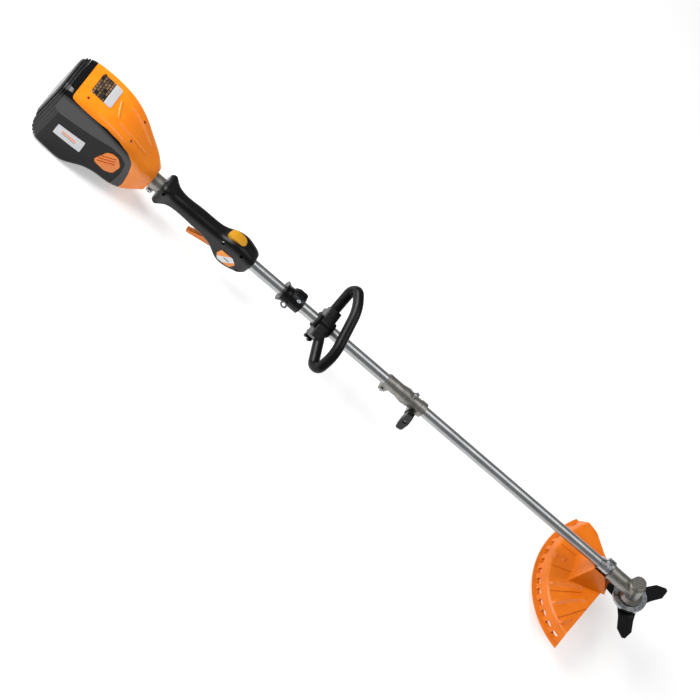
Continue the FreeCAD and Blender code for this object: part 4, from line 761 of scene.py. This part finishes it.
class BRUSHCUTTER_OT_cutting_head(bpy.types.Operator):
    """Finishes the gear case, the gears, the flanges and the blade"""

    bl_idname = "brushcutter.cutting_head"
    bl_label = "Cutting head"

    def execute(self, context):
        paint(gear_case_casting="gear_case spindle_cap", black_oxide_steel="blade",
              zinc_plated_steel="inner_flange outer_flange blade_nut",
              bearing_steel="spindle_bearings pinion_bearings bevel_pinion bevel_gear spindle")
        return {"FINISHED"}


class BRUSHCUTTER_OT_guard(bpy.types.Operator):
    """Finishes the guard, its bracket and bolts, and adds the folds that fan out over it"""

    bl_idname = "brushcutter.guard"
    bl_label = "Guard"

    def execute(self, context):
        paint(satin_orange_polypropylene="guard", zinc_plated_steel="guard_bracket guard_bolts")
        settings = context.scene.brushcutter_folds
        for count, (angle, near, far) in enumerate(GUARD_FOLDS, 1):
            stations = ((near, angle), ((near + far) / 2, angle + GUARD_FOLD_SWEEP), (far, angle))
            curve = [(-reach * cos(radians(turn)), reach * sin(radians(turn))) for reach, turn in stations]
            fold("guard_fold_%d" % count, curve, settings.guard_half / MM, settings.guard_rise / MM, "guard",
                 "satin_orange_polypropylene", over_guard, SPINDLE_UP)
        return {"FINISHED"}


# ---- add-on -------------------------------------------------------------------------------
class BRUSHCUTTER_PT_panel(bpy.types.Panel):
    """Lists the pieces in the sidebar"""

    bl_label = "Brush cutter"
    bl_idname = "BRUSHCUTTER_PT_panel"
    bl_space_type = "VIEW_3D"
    bl_region_type = "UI"
    bl_category = "Brush cutter"

    def draw(self, context):
        for operator in OPERATORS:
            self.layout.operator(operator.bl_idname)
        for name in SETTINGS:
            group = getattr(context.scene, name)
            for key in group.__annotations__:
                self.layout.prop(group, key)


SETTINGS = {
    "brushcutter_stage": StageSettings,
    "brushcutter_colours": ColourSettings,
    "brushcutter_folds": FoldSettings,
}
OPERATORS = [
    BRUSHCUTTER_OT_stage,
    BRUSHCUTTER_OT_head,
    BRUSHCUTTER_OT_cover_folds,
    BRUSHCUTTER_OT_motor,
    BRUSHCUTTER_OT_battery,
    BRUSHCUTTER_OT_grip,
    BRUSHCUTTER_OT_shaft,
    BRUSHCUTTER_OT_collar,
    BRUSHCUTTER_OT_loop,
    BRUSHCUTTER_OT_coupling,
    BRUSHCUTTER_OT_cutting_head,
    BRUSHCUTTER_OT_guard,
]


def register():
    """Registers the settings, the operators and the panel."""
    for name, group in SETTINGS.items():
        bpy.utils.register_class(group)
        setattr(bpy.types.Scene, name, PointerProperty(type=group))
    for operator in OPERATORS:
        bpy.utils.register_class(operator)
    bpy.utils.register_class(BRUSHCUTTER_PT_panel)


def unregister():
    """Takes them out again."""
    bpy.utils.unregister_class(BRUSHCUTTER_PT_panel)
    for operator in reversed(OPERATORS):
        bpy.utils.unregister_class(operator)
    for name, group in reversed(SETTINGS.items()):
        delattr(bpy.types.Scene, name)
        bpy.utils.unregister_class(group)


def main():
    """Builds the scene."""
    register()
    for operator in OPERATORS:
        family, name = operator.bl_idname.split(".")
        getattr(getattr(bpy.ops, family), name)()


if __name__ == "__main__":
    main()
